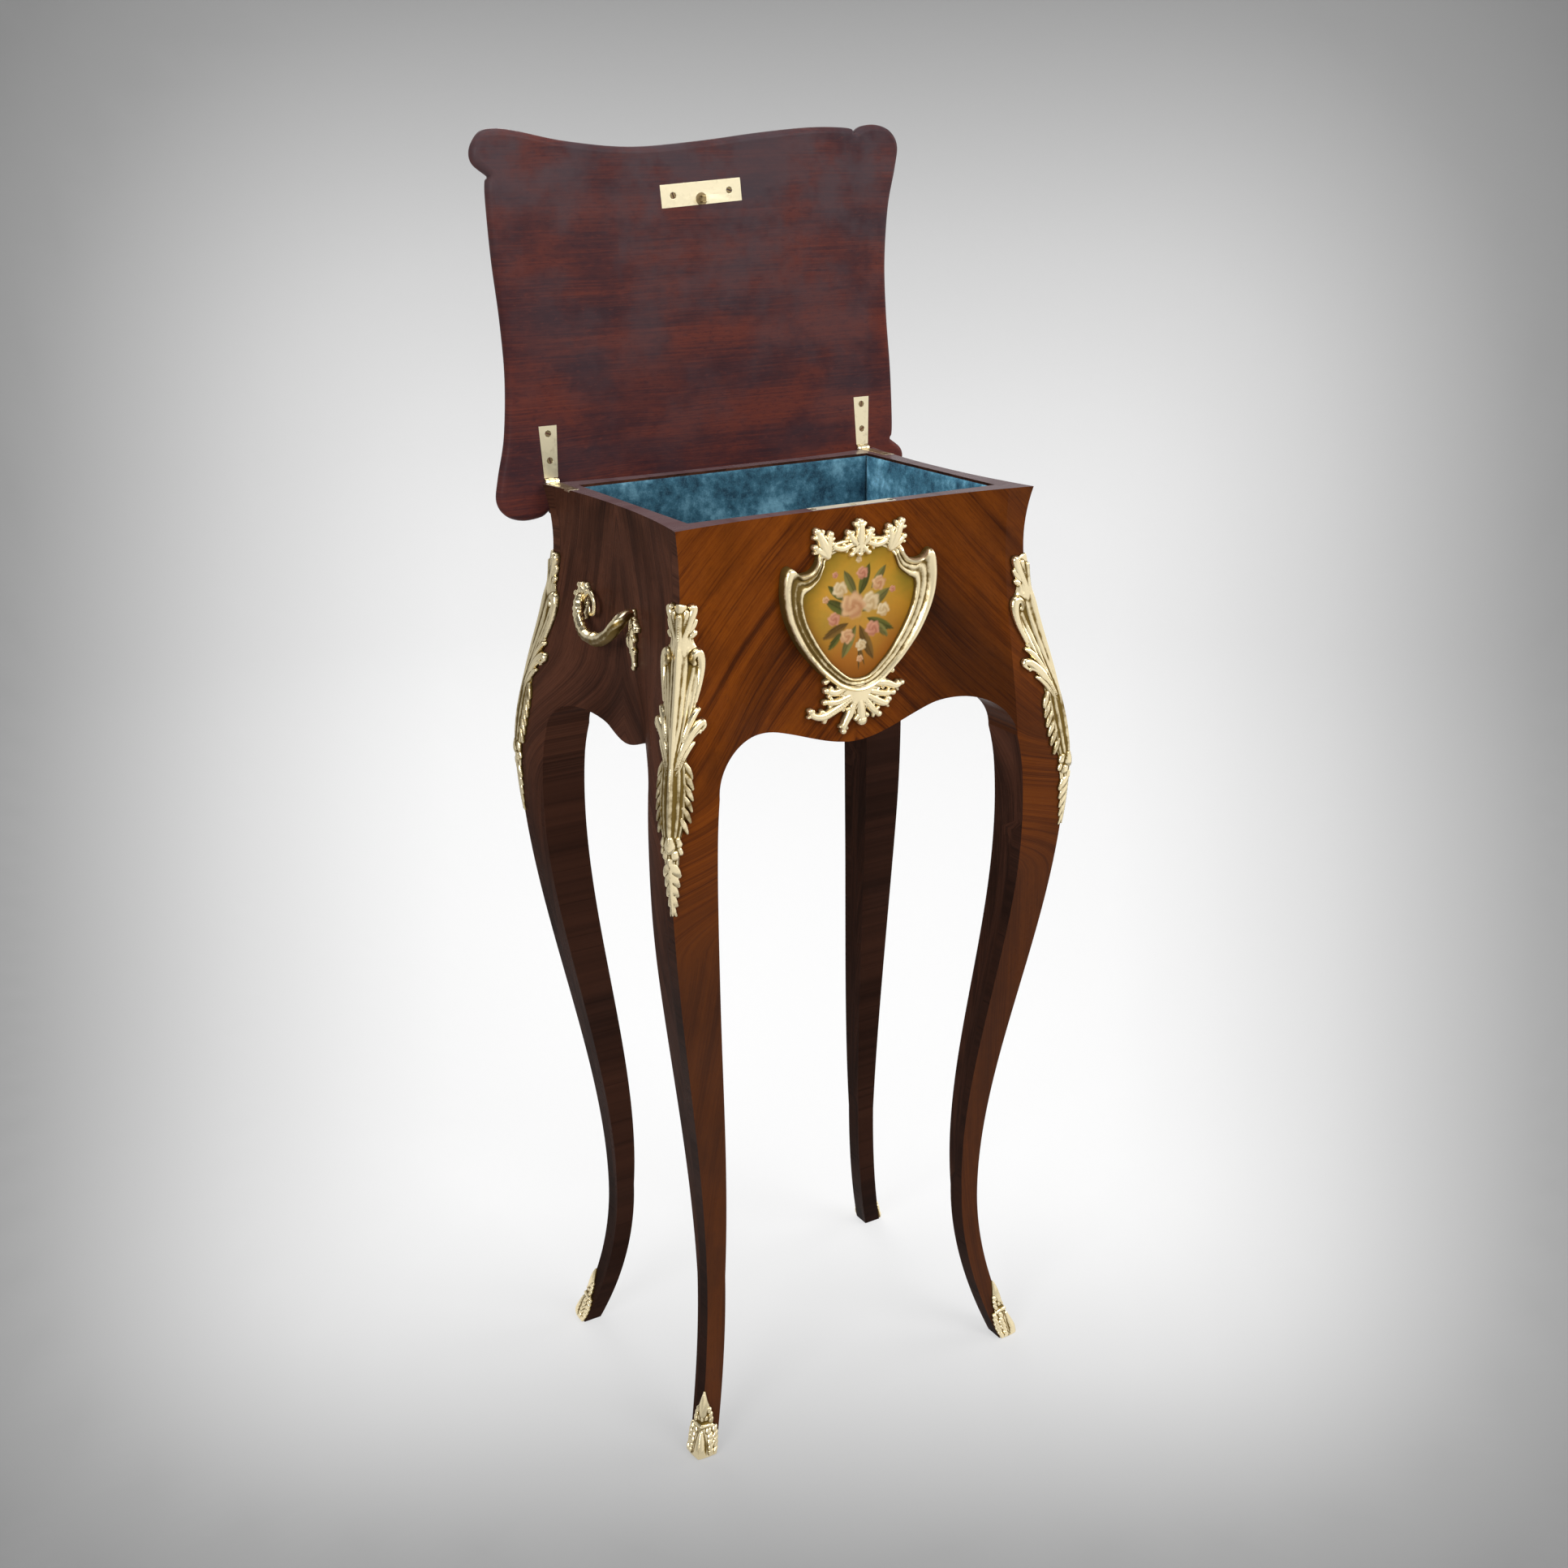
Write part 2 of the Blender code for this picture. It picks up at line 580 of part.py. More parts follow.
def build_hinges(lid_axis, lid, legs, panels):
    """Two stop hinges: a tapering leaf let into the lid and a narrow one let into the rim."""
    under = RIM_H + GAP
    for side, sx in SIDES.items():
        x = sx * HINGE_X
        ends = x - KNUCKLE_LEN / 2, x + KNUCKLE_LEN / 2
        mid = x - KNUCKLE_MID / 2, x + KNUCKLE_MID / 2
        clear_r = KNUCKLE_R + RUN_GAP
        bore = turned(
            [(PIN_R + GAP, -OVER), (PIN_R + GAP, KNUCKLE_LEN + OVER)],
            facing((ends[0], HINGE_Y, RIM_H), (1, 0, 0)),
        )
        bore = tool("bore_" + side, bore)
        lid_bore = tool("lid_bore_" + side, bmesh_copy(bore), lid_axis)

        leaf_bm = strap(LID_LEAF_LEN, LID_LEAF_TIP, LID_LEAF_ROOT, under, under + LEAF_T, x)
        leaf = add("hinge_lid_leaf_" + side, leaf_bm, "brass", lid_axis)
        outer = merged([
            knuckle(ends[0] - OVER, mid[0], clear_r), knuckle(mid[1], ends[1] + OVER, clear_r),
        ])
        cut(leaf, tool("lid_leaf_relief_" + side, outer, lid_axis))
        combine(leaf, tool("lid_knuckle_" + side, knuckle(*mid, KNUCKLE_R), lid_axis), "UNION")
        cut(leaf, lid_bore)

        top = RIM_H
        body_bm = strap(CASE_LEAF_LEN, CASE_LEAF_W, CASE_LEAF_W, top - LEAF_T, top, x)
        body = add("hinge_case_leaf_" + side, body_bm, "brass")
        combine(body, tool("case_knuckle_" + side, knuckle(*ends, KNUCKLE_R)), "UNION")
        gap_bar = knuckle(mid[0] - GAP, mid[1] + GAP, clear_r)
        cut(body, tool("case_leaf_relief_" + side, gap_bar), bore)

        add("hinge_pin_" + side, knuckle(*ends, PIN_R), "brass")

        pocket = strap(LID_LEAF_LEN, LID_LEAF_TIP, LID_LEAF_ROOT, under - OVER, under + LEAF_T + GAP, x, GAP)
        cut(lid, tool("lid_leaf_pocket_" + side, pocket, lid_axis))
        hollow = knuckle(ends[0] - RUN_GAP, ends[1] + RUN_GAP, clear_r + RUN_GAP)
        cut(lid, tool("lid_knuckle_hollow_" + side, hollow, lid_axis))
        pocket = strap(CASE_LEAF_LEN, CASE_LEAF_W, CASE_LEAF_W, top - LEAF_T - GAP, top + OVER, x, GAP)
        pocket = tool("case_leaf_pocket_" + side, pocket)
        cut(legs["back_" + side], pocket)
        cut(panels[side], pocket)

        lid_side = [Vector((x, HINGE_Y - LID_LEAF_LEN * share, under)) for share in (0.38, 0.86)]
        case_side = [Vector((x, HINGE_Y - CASE_LEAF_LEN * share, top)) for share in (0.30, 0.84)]
        lid_holes = tool("lid_screw_holes_" + side, screw_holes(lid_side, (0, 0, 1)), lid_axis)
        case_holes = tool("case_screw_holes_" + side, screw_holes(case_side, (0, 0, -1)))
        cut(leaf, lid_holes)
        cut(lid, lid_holes)
        for piece in (body, legs["back_" + side], panels[side]):
            cut(piece, case_holes)
        add_screws("hinge_lid_screw_" + side, lid_side, (0, 0, 1), lid_axis)
        add_screws("hinge_case_screw_" + side, case_side, (0, 0, -1))


def bmesh_copy(obj):
    bm = bmesh.new()
    bm.from_mesh(obj.data)
    return bm


# Lock and keep


def keyhole(y_low, y_high):
    """A keyhole through the front, round above with a slot below."""
    middle = RIM_H - KEYHOLE_DOWN
    arc = [math.radians(-60.0 + 30.0 * k) for k in range(11)]
    plan = [(KEYHOLE_R * math.cos(a), middle + KEYHOLE_R * math.sin(a)) for a in arc]
    slot_x = KEYHOLE_R * math.cos(arc[0])
    plan += [(-slot_x, middle - KEYHOLE_SLOT), (slot_x, middle - KEYHOLE_SLOT)]
    return loft([[(x, y, z) for x, z in plan] for y in (y_low, y_high)])


def build_lock(front_panel, frame_piece):
    """A box lock let into the front panel, with a sliding bolt under a flat spring."""
    outer, inner = -POST_Y - LOCK_T, -POST_Y
    low, top = RIM_H - LOCK_H, RIM_H
    x = LOCK_W / 2
    case = add("lock_case", box((-x, outer, low), (x, inner, top - LOCK_WALL)), "steel")
    plate = box((-SELVEDGE_W / 2, outer, top - LOCK_WALL - GAP), (SELVEDGE_W / 2, inner, top))
    combine(case, tool("selvedge", plate), "UNION")
    inside_low = (-x + LOCK_WALL, outer + LOCK_WALL, low + LOCK_WALL)
    inside_high = (x - LOCK_WALL, inner + OVER, top - 2 * LOCK_WALL)
    slot_x, slot_y = STAPLE_X / 2 + 2 * RUN_GAP, STAPLE_Y / 2 + RUN_GAP
    slot = box((-slot_x, LOCK_Y - slot_y, top - OVER), (slot_x, LOCK_Y + slot_y, top + OVER))
    key = tool("keyhole", keyhole(outer - FACE_SET - OVER, outer + LOCK_WALL + OVER / 2))
    key_front = tool("keyhole_front", keyhole(-RIM_D / 2 - OVER - CARTOUCHE_RISE, outer + OVER / 2))
    cut(case, tool("lock_inside", box(inside_low, inside_high)), tool("lock_slot", slot), key)

    cover_low = (inside_low[0] + GAP, inner - LOCK_WALL, inside_low[2] + GAP)
    cover_high = (inside_high[0] - GAP, inner, inside_high[2] - GAP)
    add("lock_cover", box(cover_low, cover_high), "steel")

    bolt_y = LOCK_T / 2 - LOCK_WALL - GAP
    bolt_z = top - STAPLE_LEN + STAPLE_WALL + BOLT_H / 2 + RUN_GAP
    nose_end = -STAPLE_X / 2 - 2 * RUN_GAP
    bolt_end = nose_end - BOLT_THROW - NOSE_SPARE
    body = box(
        (bolt_end - BOLT_LEN, LOCK_Y - bolt_y, bolt_z - BOLT_H),
        (bolt_end, LOCK_Y + bolt_y, bolt_z + BOLT_H / 2),
    )
    bolt = add("lock_bolt", body, "brass", origin=(bolt_end, LOCK_Y, bolt_z))
    nose = box(
        (bolt_end - GAP, LOCK_Y - NOSE_Y / 2, bolt_z - BOLT_H / 2),
        (nose_end, LOCK_Y + NOSE_Y / 2, bolt_z + BOLT_H / 2),
    )
    combine(bolt, tool("bolt_nose", nose), "UNION")

    spring_top = bolt_z - BOLT_H - GAP
    spring_low = inside_low[2] + GAP
    root = inside_low[0] + GAP
    leaf = [
        (root, spring_low), ((root + bolt_end) / 2, spring_low),
        (bolt_end, spring_top - SPRING_T), (bolt_end + SPRING_TAIL, spring_top - 2 * SPRING_T),
    ]
    profile = [(px, pz) for px, pz in leaf] + [(px, pz + SPRING_T) for px, pz in reversed(leaf)]
    rows = [[(px, LOCK_Y + sy * bolt_y, pz) for px, pz in profile] for sy in (-1, 1)]
    add("lock_spring", loft(rows), "steel")

    recess_low = (-x - GAP, outer - GAP, low - GAP)
    cut(front_panel, tool("lock_recess", box(recess_low, (x + GAP, inner + OVER, top + OVER))))
    plate_low = (-SELVEDGE_W / 2 - GAP, outer - GAP, top - LOCK_WALL - 2 * GAP)
    plate_high = (SELVEDGE_W / 2 + GAP, inner + OVER, top + OVER)
    cut(front_panel, tool("selvedge_recess", box(plate_low, plate_high)), key_front)
    cut(frame_piece, key_front)

    screw_x = (LOCK_W + SELVEDGE_W) / 4
    points = [Vector((sx * screw_x, LOCK_Y, top)) for sx in (-1, 1)]
    holes = tool("lock_screw_holes", screw_holes(points, (0, 0, -1)))
    cut(case, holes)
    cut(front_panel, holes)
    add_screws("lock_screw", points, (0, 0, -1))


def build_keep(lid, lid_axis):
    """The keep: a brass plate let into the lid, set a little askew, with a staple for the bolt."""
    under = RIM_H + GAP
    swing = Matrix.Translation((0.0, LOCK_Y - KEEP_AHEAD, 0.0)) @ Matrix.Rotation(KEEP_SKEW, 4, "Z")

    def plate(grow, low, high):
        x, y = KEEP_W / 2 + grow, KEEP_D / 2 + grow
        bm = box((-x, -y, low), (x, y, high))
        bm.transform(swing)
        return bm

    keep = add("keep_plate", plate(0.0, under, under + KEEP_T), "brass", lid_axis)
    x, y = STAPLE_X / 2, STAPLE_Y / 2
    staple = box((-x, LOCK_Y - y, under - STAPLE_LEN), (x, LOCK_Y + y, under + KEEP_T / 2))
    combine(keep, tool("staple", staple, lid_axis), "UNION")
    eye_y = y - STAPLE_WALL
    eye_low = (-OVER, LOCK_Y - eye_y, under - STAPLE_LEN + STAPLE_WALL)
    cut(keep, tool("staple_eye", box(eye_low, (OVER, LOCK_Y + eye_y, under - STAPLE_WALL)), lid_axis))
    cut(lid, tool("keep_pocket", plate(GAP, under - OVER, under + KEEP_T + GAP), lid_axis))

    points = [swing @ Vector((sx * KEEP_SCREW_X, 0.0, under)) for sx in (-1, 1)]
    holes = tool("keep_screw_holes", screw_holes(points, (0, 0, 1)), lid_axis)
    cut(keep, holes)
    cut(lid, holes)
    add_screws("keep_screw", points, (0, 0, 1), lid_axis)


# Gilt mounts


def between(table):
    """Table rows with one row added halfway between each pair."""
    rows = [table[0]]
    for a, b in zip(table, table[1:]):
        rows.append(tuple((p + q) / 2 for p, q in zip(a, b)))
        rows.append(b)
    return rows


def corner_shell(sx, sy, rows, edge):
    """A shell that hugs a leg's outer corner: rows of height, half width along a face, relief."""
    shares = (-1.0, -0.45, 0.0, 0.45, 1.0)
    outer, inner = [], []
    for share in shares:
        high, low = [], []
        for z, half, relief in rows:
            rise = edge + (relief - edge) * (1.0 - abs(share) ** 1.6)
            for points, lift in ((low, GAP), (high, GAP + rise)):
                out = corner_out(z)
                x, y = RIM_W / 2 + out, RIM_D / 2 + out
                if share < 0.0:
                    x += share * half
                    y = RIM_D / 2 + face_out(RIM_W / 2, x, z) + lift
                elif share > 0.0:
                    y -= share * half
                    x = RIM_W / 2 + face_out(RIM_D / 2, y, z) + lift
                else:
                    x, y = x + lift, y + lift
                points.append((sx * x, sy * y, z))
        outer.append(high)
        inner.append(low)
    return slab(outer, inner, flat_back=False)


def build_corner_mounts():
    top = RIM_H - CHUTE_DOWN
    chute = [(top - down, half, relief) for down, half, relief in between(CHUTE)]
    for corner, (sx, sy) in CORNERS.items():
        add("corner_mount_" + corner, corner_shell(sx, sy, chute, CHUTE_EDGE), "gilt bronze")
        add("sabot_" + corner, corner_shell(sx, sy, SABOT, CHUTE_EDGE), "gilt bronze")


def cartouche_loops():
    """The cartouche's outer edge and its opening as closed loops, anticlockwise from the top."""
    outer = spline([pair[0] for pair in CARTOUCHE], 2)
    inner = spline([pair[1] for pair in CARTOUCHE], 2)
    loops = []
    for half in (outer, inner):
        left = [Vector((-p.x, p.y)) for p in half]
        loops.append(left + list(reversed(half[1:-1])))
    return loops


def build_cartouche():
    """A cast frame whose rebate holds a flat painted plaque against the front."""
    outer, opening = cartouche_loops()
    middle = RIM_H - CARTOUCHE_DOWN
    seat = RIM_D / 2 + max(face_out(RIM_W / 2, p.x, middle + p.y) for p in outer) + GAP

    def at(loop, height):
        return [(p.x, -seat - height, middle + p.y) for p in loop]

    def across(share, height):
        return at([a + (b - a) * share for a, b in zip(opening, outer)], height)

    plaque = offset_loop(opening, PLAQUE_LAP)
    rebate = offset_loop(opening, PLAQUE_LAP + GAP)
    loops = [
        across(0.0, PLAQUE_T + GAP + LIP_T), across(0.25, CARTOUCHE_RISE * 0.75),
        across(0.60, CARTOUCHE_RISE), across(0.93, CARTOUCHE_RISE * 0.5), across(1.0, 0.0),
        at(rebate, 0.0), at(rebate, PLAQUE_T + GAP), across(0.0, PLAQUE_T + GAP),
    ]
    add("painted_plaque", loft([at(plaque, 0.0), at(plaque, PLAQUE_T)]), "painted plaque")
    return add("cartouche_frame", ring_solid(loops), "gilt bronze")


def build_handles(panels):
    """A cast scroll pull on each side, its two studs held by nuts let into the panel."""
    studs_z = RIM_H - HANDLE_DOWN
    for side, sx in SIDES.items():
        def at(along, up, out):
            return Vector((sx * (RIM_W / 2 + out), along, studs_z + up))

        def face(along, up):
            return face_out(RIM_D / 2, along, studs_z + up)

        back = [HANDLE_BACK + root for root in HANDLE_ROOT]
        front = [HANDLE_FRONT + root for root in reversed(HANDLE_ROOT)]
        path = spline(back + list(HANDLE_BAR) + front, 3)
        seats = [face(along, up) + GAP for along, up, out, radius in path]
        centres = [at(p[0], p[1], seat + p[2]) for p, seat in zip(path, seats)]
        rows = []
        for i, centre in enumerate(centres):
            forward = centres[min(i + 1, len(centres) - 1)] - centres[max(i - 1, 0)]
            place = facing(centre, forward)
            turns = [2.0 * math.pi * k / 8 for k in range(8)]
            rows.append([place @ Vector((path[i][3] * math.cos(a), path[i][3] * math.sin(a), 0)) for a in turns])
        handle = add("handle_" + side, loft(rows), "gilt bronze")

        for name, plan in (("up", HANDLE_LEAF_UP), ("low", HANDLE_LEAF_LOW)):
            loop = spline(plan + plan[:1], 3)[:-1]
            low = [at(a, u, face(a, u) + 2 * GAP) for a, u in loop]
            high = [at(a, u, face(a, u) + 2 * GAP + HANDLE_LEAF_T) for a, u in loop]
            combine(handle, tool("leaf_%s_%s" % (name, side), loft([low, high])), "UNION")
        for end, (along, up) in (("back", HANDLE_BACK), ("front", HANDLE_FRONT)):
            inside = Vector((sx * POST_X, along, studs_z + up))
            outward = facing(inside, (sx, 0, 0))
            length = WALL + face(along, up) + GAP + HANDLE_LEAF_T / 2
            stud = turned([(STUD_R, GAP), (STUD_R, length)], outward)
            combine(handle, tool("stud_%s_%s" % (end, side), stud), "UNION")
            depth = NUT_T + 2 * GAP
            hole = turned(
                [(NUT_R + GAP, -OVER), (NUT_R + GAP, depth), (STUD_R + GAP, depth), (STUD_R + GAP, length + OVER)],
                outward,
            )
            cut(panels[side], tool("stud_hole_%s_%s" % (end, side), hole))
            bore = (STUD_R + GAP) / math.cos(math.pi / NUT_SIDES)
            ring = [
                [outward @ Vector((r * math.cos(a), r * math.sin(a), h)) for a in
                 [2.0 * math.pi * k / NUT_SIDES for k in range(NUT_SIDES)]]
                for r, h in ((bore, GAP), (NUT_R, GAP), (NUT_R, GAP + NUT_T), (bore, GAP + NUT_T))
            ]
            add("handle_nut_%s_%s" % (side, end), ring_solid(ring), "brass")


def main():
    for obj in list(bpy.data.objects):
        bpy.data.objects.remove(obj, do_unlink=True)
    legs = build_legs()
    panels = build_panels()
    build_well()
    lid_axis = axis_empty("lid_axis", (0.0, HINGE_Y, RIM_H), (-LID_OPEN, 0.0, 0.0))
    lid = build_lid(lid_axis)
    build_hinges(lid_axis, lid, legs, panels)
    build_keep(lid, lid_axis)
    build_corner_mounts()
    frame_piece = build_cartouche()
    build_lock(panels["front"], frame_piece)
    build_handles(panels)


main()
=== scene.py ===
import json
import math

import bmesh
import bpy
import numpy as np
from bpy.props import FloatProperty, FloatVectorProperty, PointerProperty
from mathutils import Matrix, Vector, geometry


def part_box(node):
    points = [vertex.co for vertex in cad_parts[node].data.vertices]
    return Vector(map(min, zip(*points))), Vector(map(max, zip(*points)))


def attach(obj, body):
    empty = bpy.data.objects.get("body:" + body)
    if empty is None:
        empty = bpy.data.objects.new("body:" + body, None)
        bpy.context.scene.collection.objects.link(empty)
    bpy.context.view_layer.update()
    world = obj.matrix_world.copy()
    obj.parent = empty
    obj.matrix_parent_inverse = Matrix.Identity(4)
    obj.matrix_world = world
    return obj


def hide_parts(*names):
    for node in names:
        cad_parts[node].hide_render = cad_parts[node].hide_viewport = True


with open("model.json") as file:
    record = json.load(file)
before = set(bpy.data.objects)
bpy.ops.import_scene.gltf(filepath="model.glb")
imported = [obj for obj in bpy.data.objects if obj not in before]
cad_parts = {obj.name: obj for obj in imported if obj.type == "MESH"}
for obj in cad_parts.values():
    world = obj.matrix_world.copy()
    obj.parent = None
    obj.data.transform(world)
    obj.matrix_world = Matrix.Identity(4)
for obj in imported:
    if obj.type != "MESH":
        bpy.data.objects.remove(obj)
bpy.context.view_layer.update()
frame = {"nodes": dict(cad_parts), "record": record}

bl_info = {
    "name": "Serpentine Work Table",
    "version": (1, 0, 0),
    "blender": (4, 5, 0),
    "location": "3D View > Sidebar > Work Table",
    "description": "Veneer, gilt mounts, velvet, painted plaque and brasses for the serpentine work table",
    "category": "Object",
}

NODES = frame["nodes"]

# Finishes and shared node groups by name
FINISH = {}

# Case shape, in metres, as in the solids
RIM_H = 0.740
RIM_W = 0.300
RIM_D = 0.214
WALL = 0.0203
FACE_SET = 0.009
FACE_RUN = 0.100
FACE_TURN = 2.0
WAIST_DOWN = 0.040
WAIST_IN = 0.0045
KNEE_DOWN = 0.215
KNEE_OUT = 0.023
SQUARE_DOWN = 0.340
MEET_DOWN = 0.187
LONG_APRON = (0.153, 0.174, 0.040)
SHORT_APRON = (0.163, 0.178, 0.028)
ANKLE_UP = 0.140
ANKLE_IN = 0.0190
ANKLE_SIDE = 0.0162
TOE_OUT = 0.0060
TOE_SIDE = 0.0155
POST_X = RIM_W / 2 - WALL
POST_Y = RIM_D / 2 - WALL
LID_W = 0.368
LID_D = 0.282
LID_FORWARD = 0.003
LID_UNDER = RIM_H + 0.0003
LID_OPEN = math.radians(93.0)
HINGE_Y = 0.1102
LID_EAR_FRONT = (
    (-0.930, -0.765), (-0.990, -0.830), (-0.995, -0.905), (-0.955, -0.982), (-0.890, -1.000),
    (-0.790, -0.985), (-0.590, -0.935), (-0.310, -0.902), (0.000, -0.925), (0.300, -0.965),
    (0.560, -0.990), (0.745, -0.985), (0.775, -0.962),
)
LID_EAR_SIDE = (
    (0.775, -0.962), (0.815, -0.992), (0.895, -1.000), (0.965, -0.965), (1.000, -0.885),
    (0.985, -0.760), (0.945, -0.550), (0.922, -0.250), (0.925, 0.050), (0.940, 0.350),
    (0.945, 0.620), (0.942, 0.735), (0.930, 0.765),
)
LID_EDGE = (
    (0.0052, 0.0000), (0.0040, 0.0001), (0.0026, 0.0008), (0.0013, 0.0020), (0.0004, 0.0038),
    (0.0000, 0.0062), (0.0003, 0.0082), (0.0011, 0.0098), (0.0024, 0.0106), (0.0042, 0.0109),
    (0.0052, 0.0112), (0.0056, 0.0122), (0.0060, 0.0142), (0.0070, 0.0160), (0.0088, 0.0174),
    (0.0108, 0.0182), (0.0130, 0.0185),
)
LID_FACE = np.array((0.0, -math.sin(LID_OPEN), -math.cos(LID_OPEN)))
CORNERS = {
    "front_left": (-1, -1), "front_right": (1, -1), "back_left": (-1, 1), "back_right": (1, 1),
}
SIDES = {"left": -1, "right": 1}

# Gap between leg and panel veneers, and how far dressed brasses and wood stand proud
SEAM = 0.00002
PROUD = 0.0001

# Places across a leg's face, as shares of its side
LEG_SHARES = np.array([0.0, 0.03, 0.08, 0.15, 0.24, 0.34, 0.46, 0.58, 0.70, 0.82, 0.92, 1.0])

# Veneer: seeds of the figure, the dark stripe along the grain, and how shaded the legs are
LEFT_SEED = 1.0
RIGHT_SEED = 1.7
LID_SEED = 2.0
BAND_AT = (RIM_H - 0.051) / math.sqrt(2.0)
BAND_RISE = 0.017
BAND_EDGE = 0.0005
BAND_FADE = (0.004, 0.042)
LEG_SHADE_UP = 0.40
LEG_SHADE_RUN = 0.16
RIGHT_POST_SHADE = 0.45
FRONT_LEG_SHADE = 0.65
BACK_LEG_SHADE = 0.85

# Room for the lock, the keep's staple, the joints of the velvet, and the screws' slots
LOCK_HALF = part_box("lock_case")[1].x + 0.0002
LOCK_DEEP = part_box("lock_case")[1].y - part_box("lock_case")[0].y + 0.0002
LOCK_DOWN = 0.038
KEEP_LOW, KEEP_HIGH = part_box("keep_plate")
KEEP_STAPLE = (0.0, KEEP_HIGH.y - 0.0018, (KEEP_LOW.z + KEEP_HIGH.z) / 2 - 0.0045)
VELVET_LAP = 0.0015
VELVET_CORNER = 0.0016
SLOT_SHARE = 0.18
SLOT_DEEP = 0.0006
BRASS_SOIL = 0.25

# Castings and plaque: seat on the wood, soil behind, cells of the reliefs, and places on the case
SEAT = 0.0003
BACK_SOIL = 0.8
OUTSIDE = -0.01
LEAF_CELL = 0.0004
CHUTE_CELL = 0.0005
TINY = 1e-12
CARTOUCHE_UP = RIM_H - 0.075
PLAQUE_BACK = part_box("painted_plaque")[1].y
PLAQUE_THICK = 0.0018
PLAQUE_LAP = 0.0019
PLAQUE_RINGS = 90
HANDLE_UP = RIM_H - 0.077
CHUTE_DOWN = 0.050

# Outlines of the corner and foot mounts: distance along, half width and relief, in metres
CHUTE = np.array((
    (0.0220, 0.0100, 0.0026), (0.0280, 0.0118, 0.0030), (0.0330, 0.0160, 0.0038), (0.0380, 0.0182, 0.0042),
    (0.0460, 0.0186, 0.0042), (0.0560, 0.0176, 0.0042), (0.0660, 0.0158, 0.0042), (0.0740, 0.0156, 0.0042),
    (0.0820, 0.0150, 0.0040), (0.0900, 0.0130, 0.0038), (0.0990, 0.0110, 0.0034), (0.1060, 0.0110, 0.0032),
    (0.1140, 0.0126, 0.0032), (0.1240, 0.0134, 0.0032), (0.1400, 0.0126, 0.0030), (0.1500, 0.0104, 0.0028),
    (0.1580, 0.0080, 0.0024), (0.1660, 0.0076, 0.0024), (0.1740, 0.0062, 0.0022), (0.1900, 0.0046, 0.0018),
    (0.2050, 0.0028, 0.0014), (0.2135, 0.0008, 0.0010),
))
SABOT = np.array((
    (0.0000, 0.0142, 0.0010), (0.0080, 0.0142, 0.0016), (0.0150, 0.0132, 0.0022), (0.0215, 0.0112, 0.0020),
    (0.0240, 0.0088, 0.0018), (0.0320, 0.0074, 0.0018), (0.0350, 0.0056, 0.0016), (0.0400, 0.0036, 0.0016),
    (0.0490, 0.0008, 0.0010),
))

# Their lobes: rows of across, along, height and half width, in millimetres
CHUTE_LOBES = (
    ((9.4, 22.0, 3.2, 2.5), (10.8, 21.0, 3.4, 2.5)),
    ((0.0, 22.0, 2.4, 7.0), (0.0, 30.0, 2.6, 8.4)),
    ((14.4, 66.0, 2.8, 1.8), (17.0, 53.0, 3.6, 2.5), (17.4, 42.0, 4.6, 3.2), (15.0, 35.2, 5.0, 3.4),
     (11.4, 34.8, 4.8, 2.9), (9.6, 38.2, 4.4, 2.3), (11.4, 41.0, 4.0, 1.9)),
    ((2.6, 108.0, 2.8, 1.4), (6.0, 97.0, 3.6, 2.6), (11.0, 88.0, 4.6, 3.5), (16.8, 82.0, 5.2, 3.4),
     (20.8, 80.6, 4.8, 2.7), (22.8, 83.0, 4.0, 2.0), (21.0, 85.4, 3.6, 1.6)),
    ((6.0, 90.0, 3.6, 2.0), (10.4, 79.4, 4.4, 2.6), (14.6, 73.4, 4.4, 2.4), (17.2, 71.6, 3.8, 1.7)),
    ((8.0, 96.0, 3.4, 1.8), (13.0, 88.6, 4.2, 2.2), (17.6, 86.0, 3.8, 1.8), (19.6, 87.2, 3.2, 1.3)),
    ((3.0, 112.0, 2.6, 1.4), (7.4, 102.0, 3.2, 2.3), (12.0, 95.4, 3.4, 2.3), (14.8, 93.4, 3.0, 1.6)),
    ((0.0, 156.0, 3.4, 2.6), (0.0, 161.0, 4.2, 3.4), (0.0, 164.0, 3.6, 2.6)),
    ((5.0, 157.0, 3.0, 2.2), (6.4, 160.4, 3.2, 2.6)), ((2.8, 166.4, 3.2, 2.2), (3.4, 169.0, 3.4, 2.4)),
    ((7.0, 164.6, 2.6, 1.8), (7.8, 167.0, 2.6, 1.9)), ((0.0, 171.0, 3.2, 2.2), (0.0, 174.0, 3.0, 2.0)),
    ((0.0, 174.0, 2.6, 2.0), (0.0, 196.0, 2.0, 1.5), (0.0, 213.2, 1.2, 0.8)),
)
CHUTE_CROWN = (
    ((0.0, 24.0, 3.0, 2.2), (0.0, 14.0, 3.6, 2.4), (0.0, 9.0, 4.0, 2.0)),
    ((3.0, 24.0, 2.6, 2.0), (6.0, 15.0, 3.6, 3.0), (8.8, 8.0, 4.8, 3.4), (9.6, 4.2, 5.2, 2.9),
     (7.4, 3.0, 4.8, 2.0)),
    ((2.0, 20.0, 2.6, 1.5), (3.8, 11.0, 3.4, 2.0), (4.4, 6.4, 3.8, 1.9)),
    ((5.4, 20.5, 2.4, 2.0), (9.2, 16.4, 3.4, 2.6), (11.4, 13.0, 3.4, 1.9)),
    ((0.0, 8.0, 2.2, 7.6), (0.0, 14.0, 2.2, 8.0), (0.0, 22.0, 2.4, 7.6)),
)
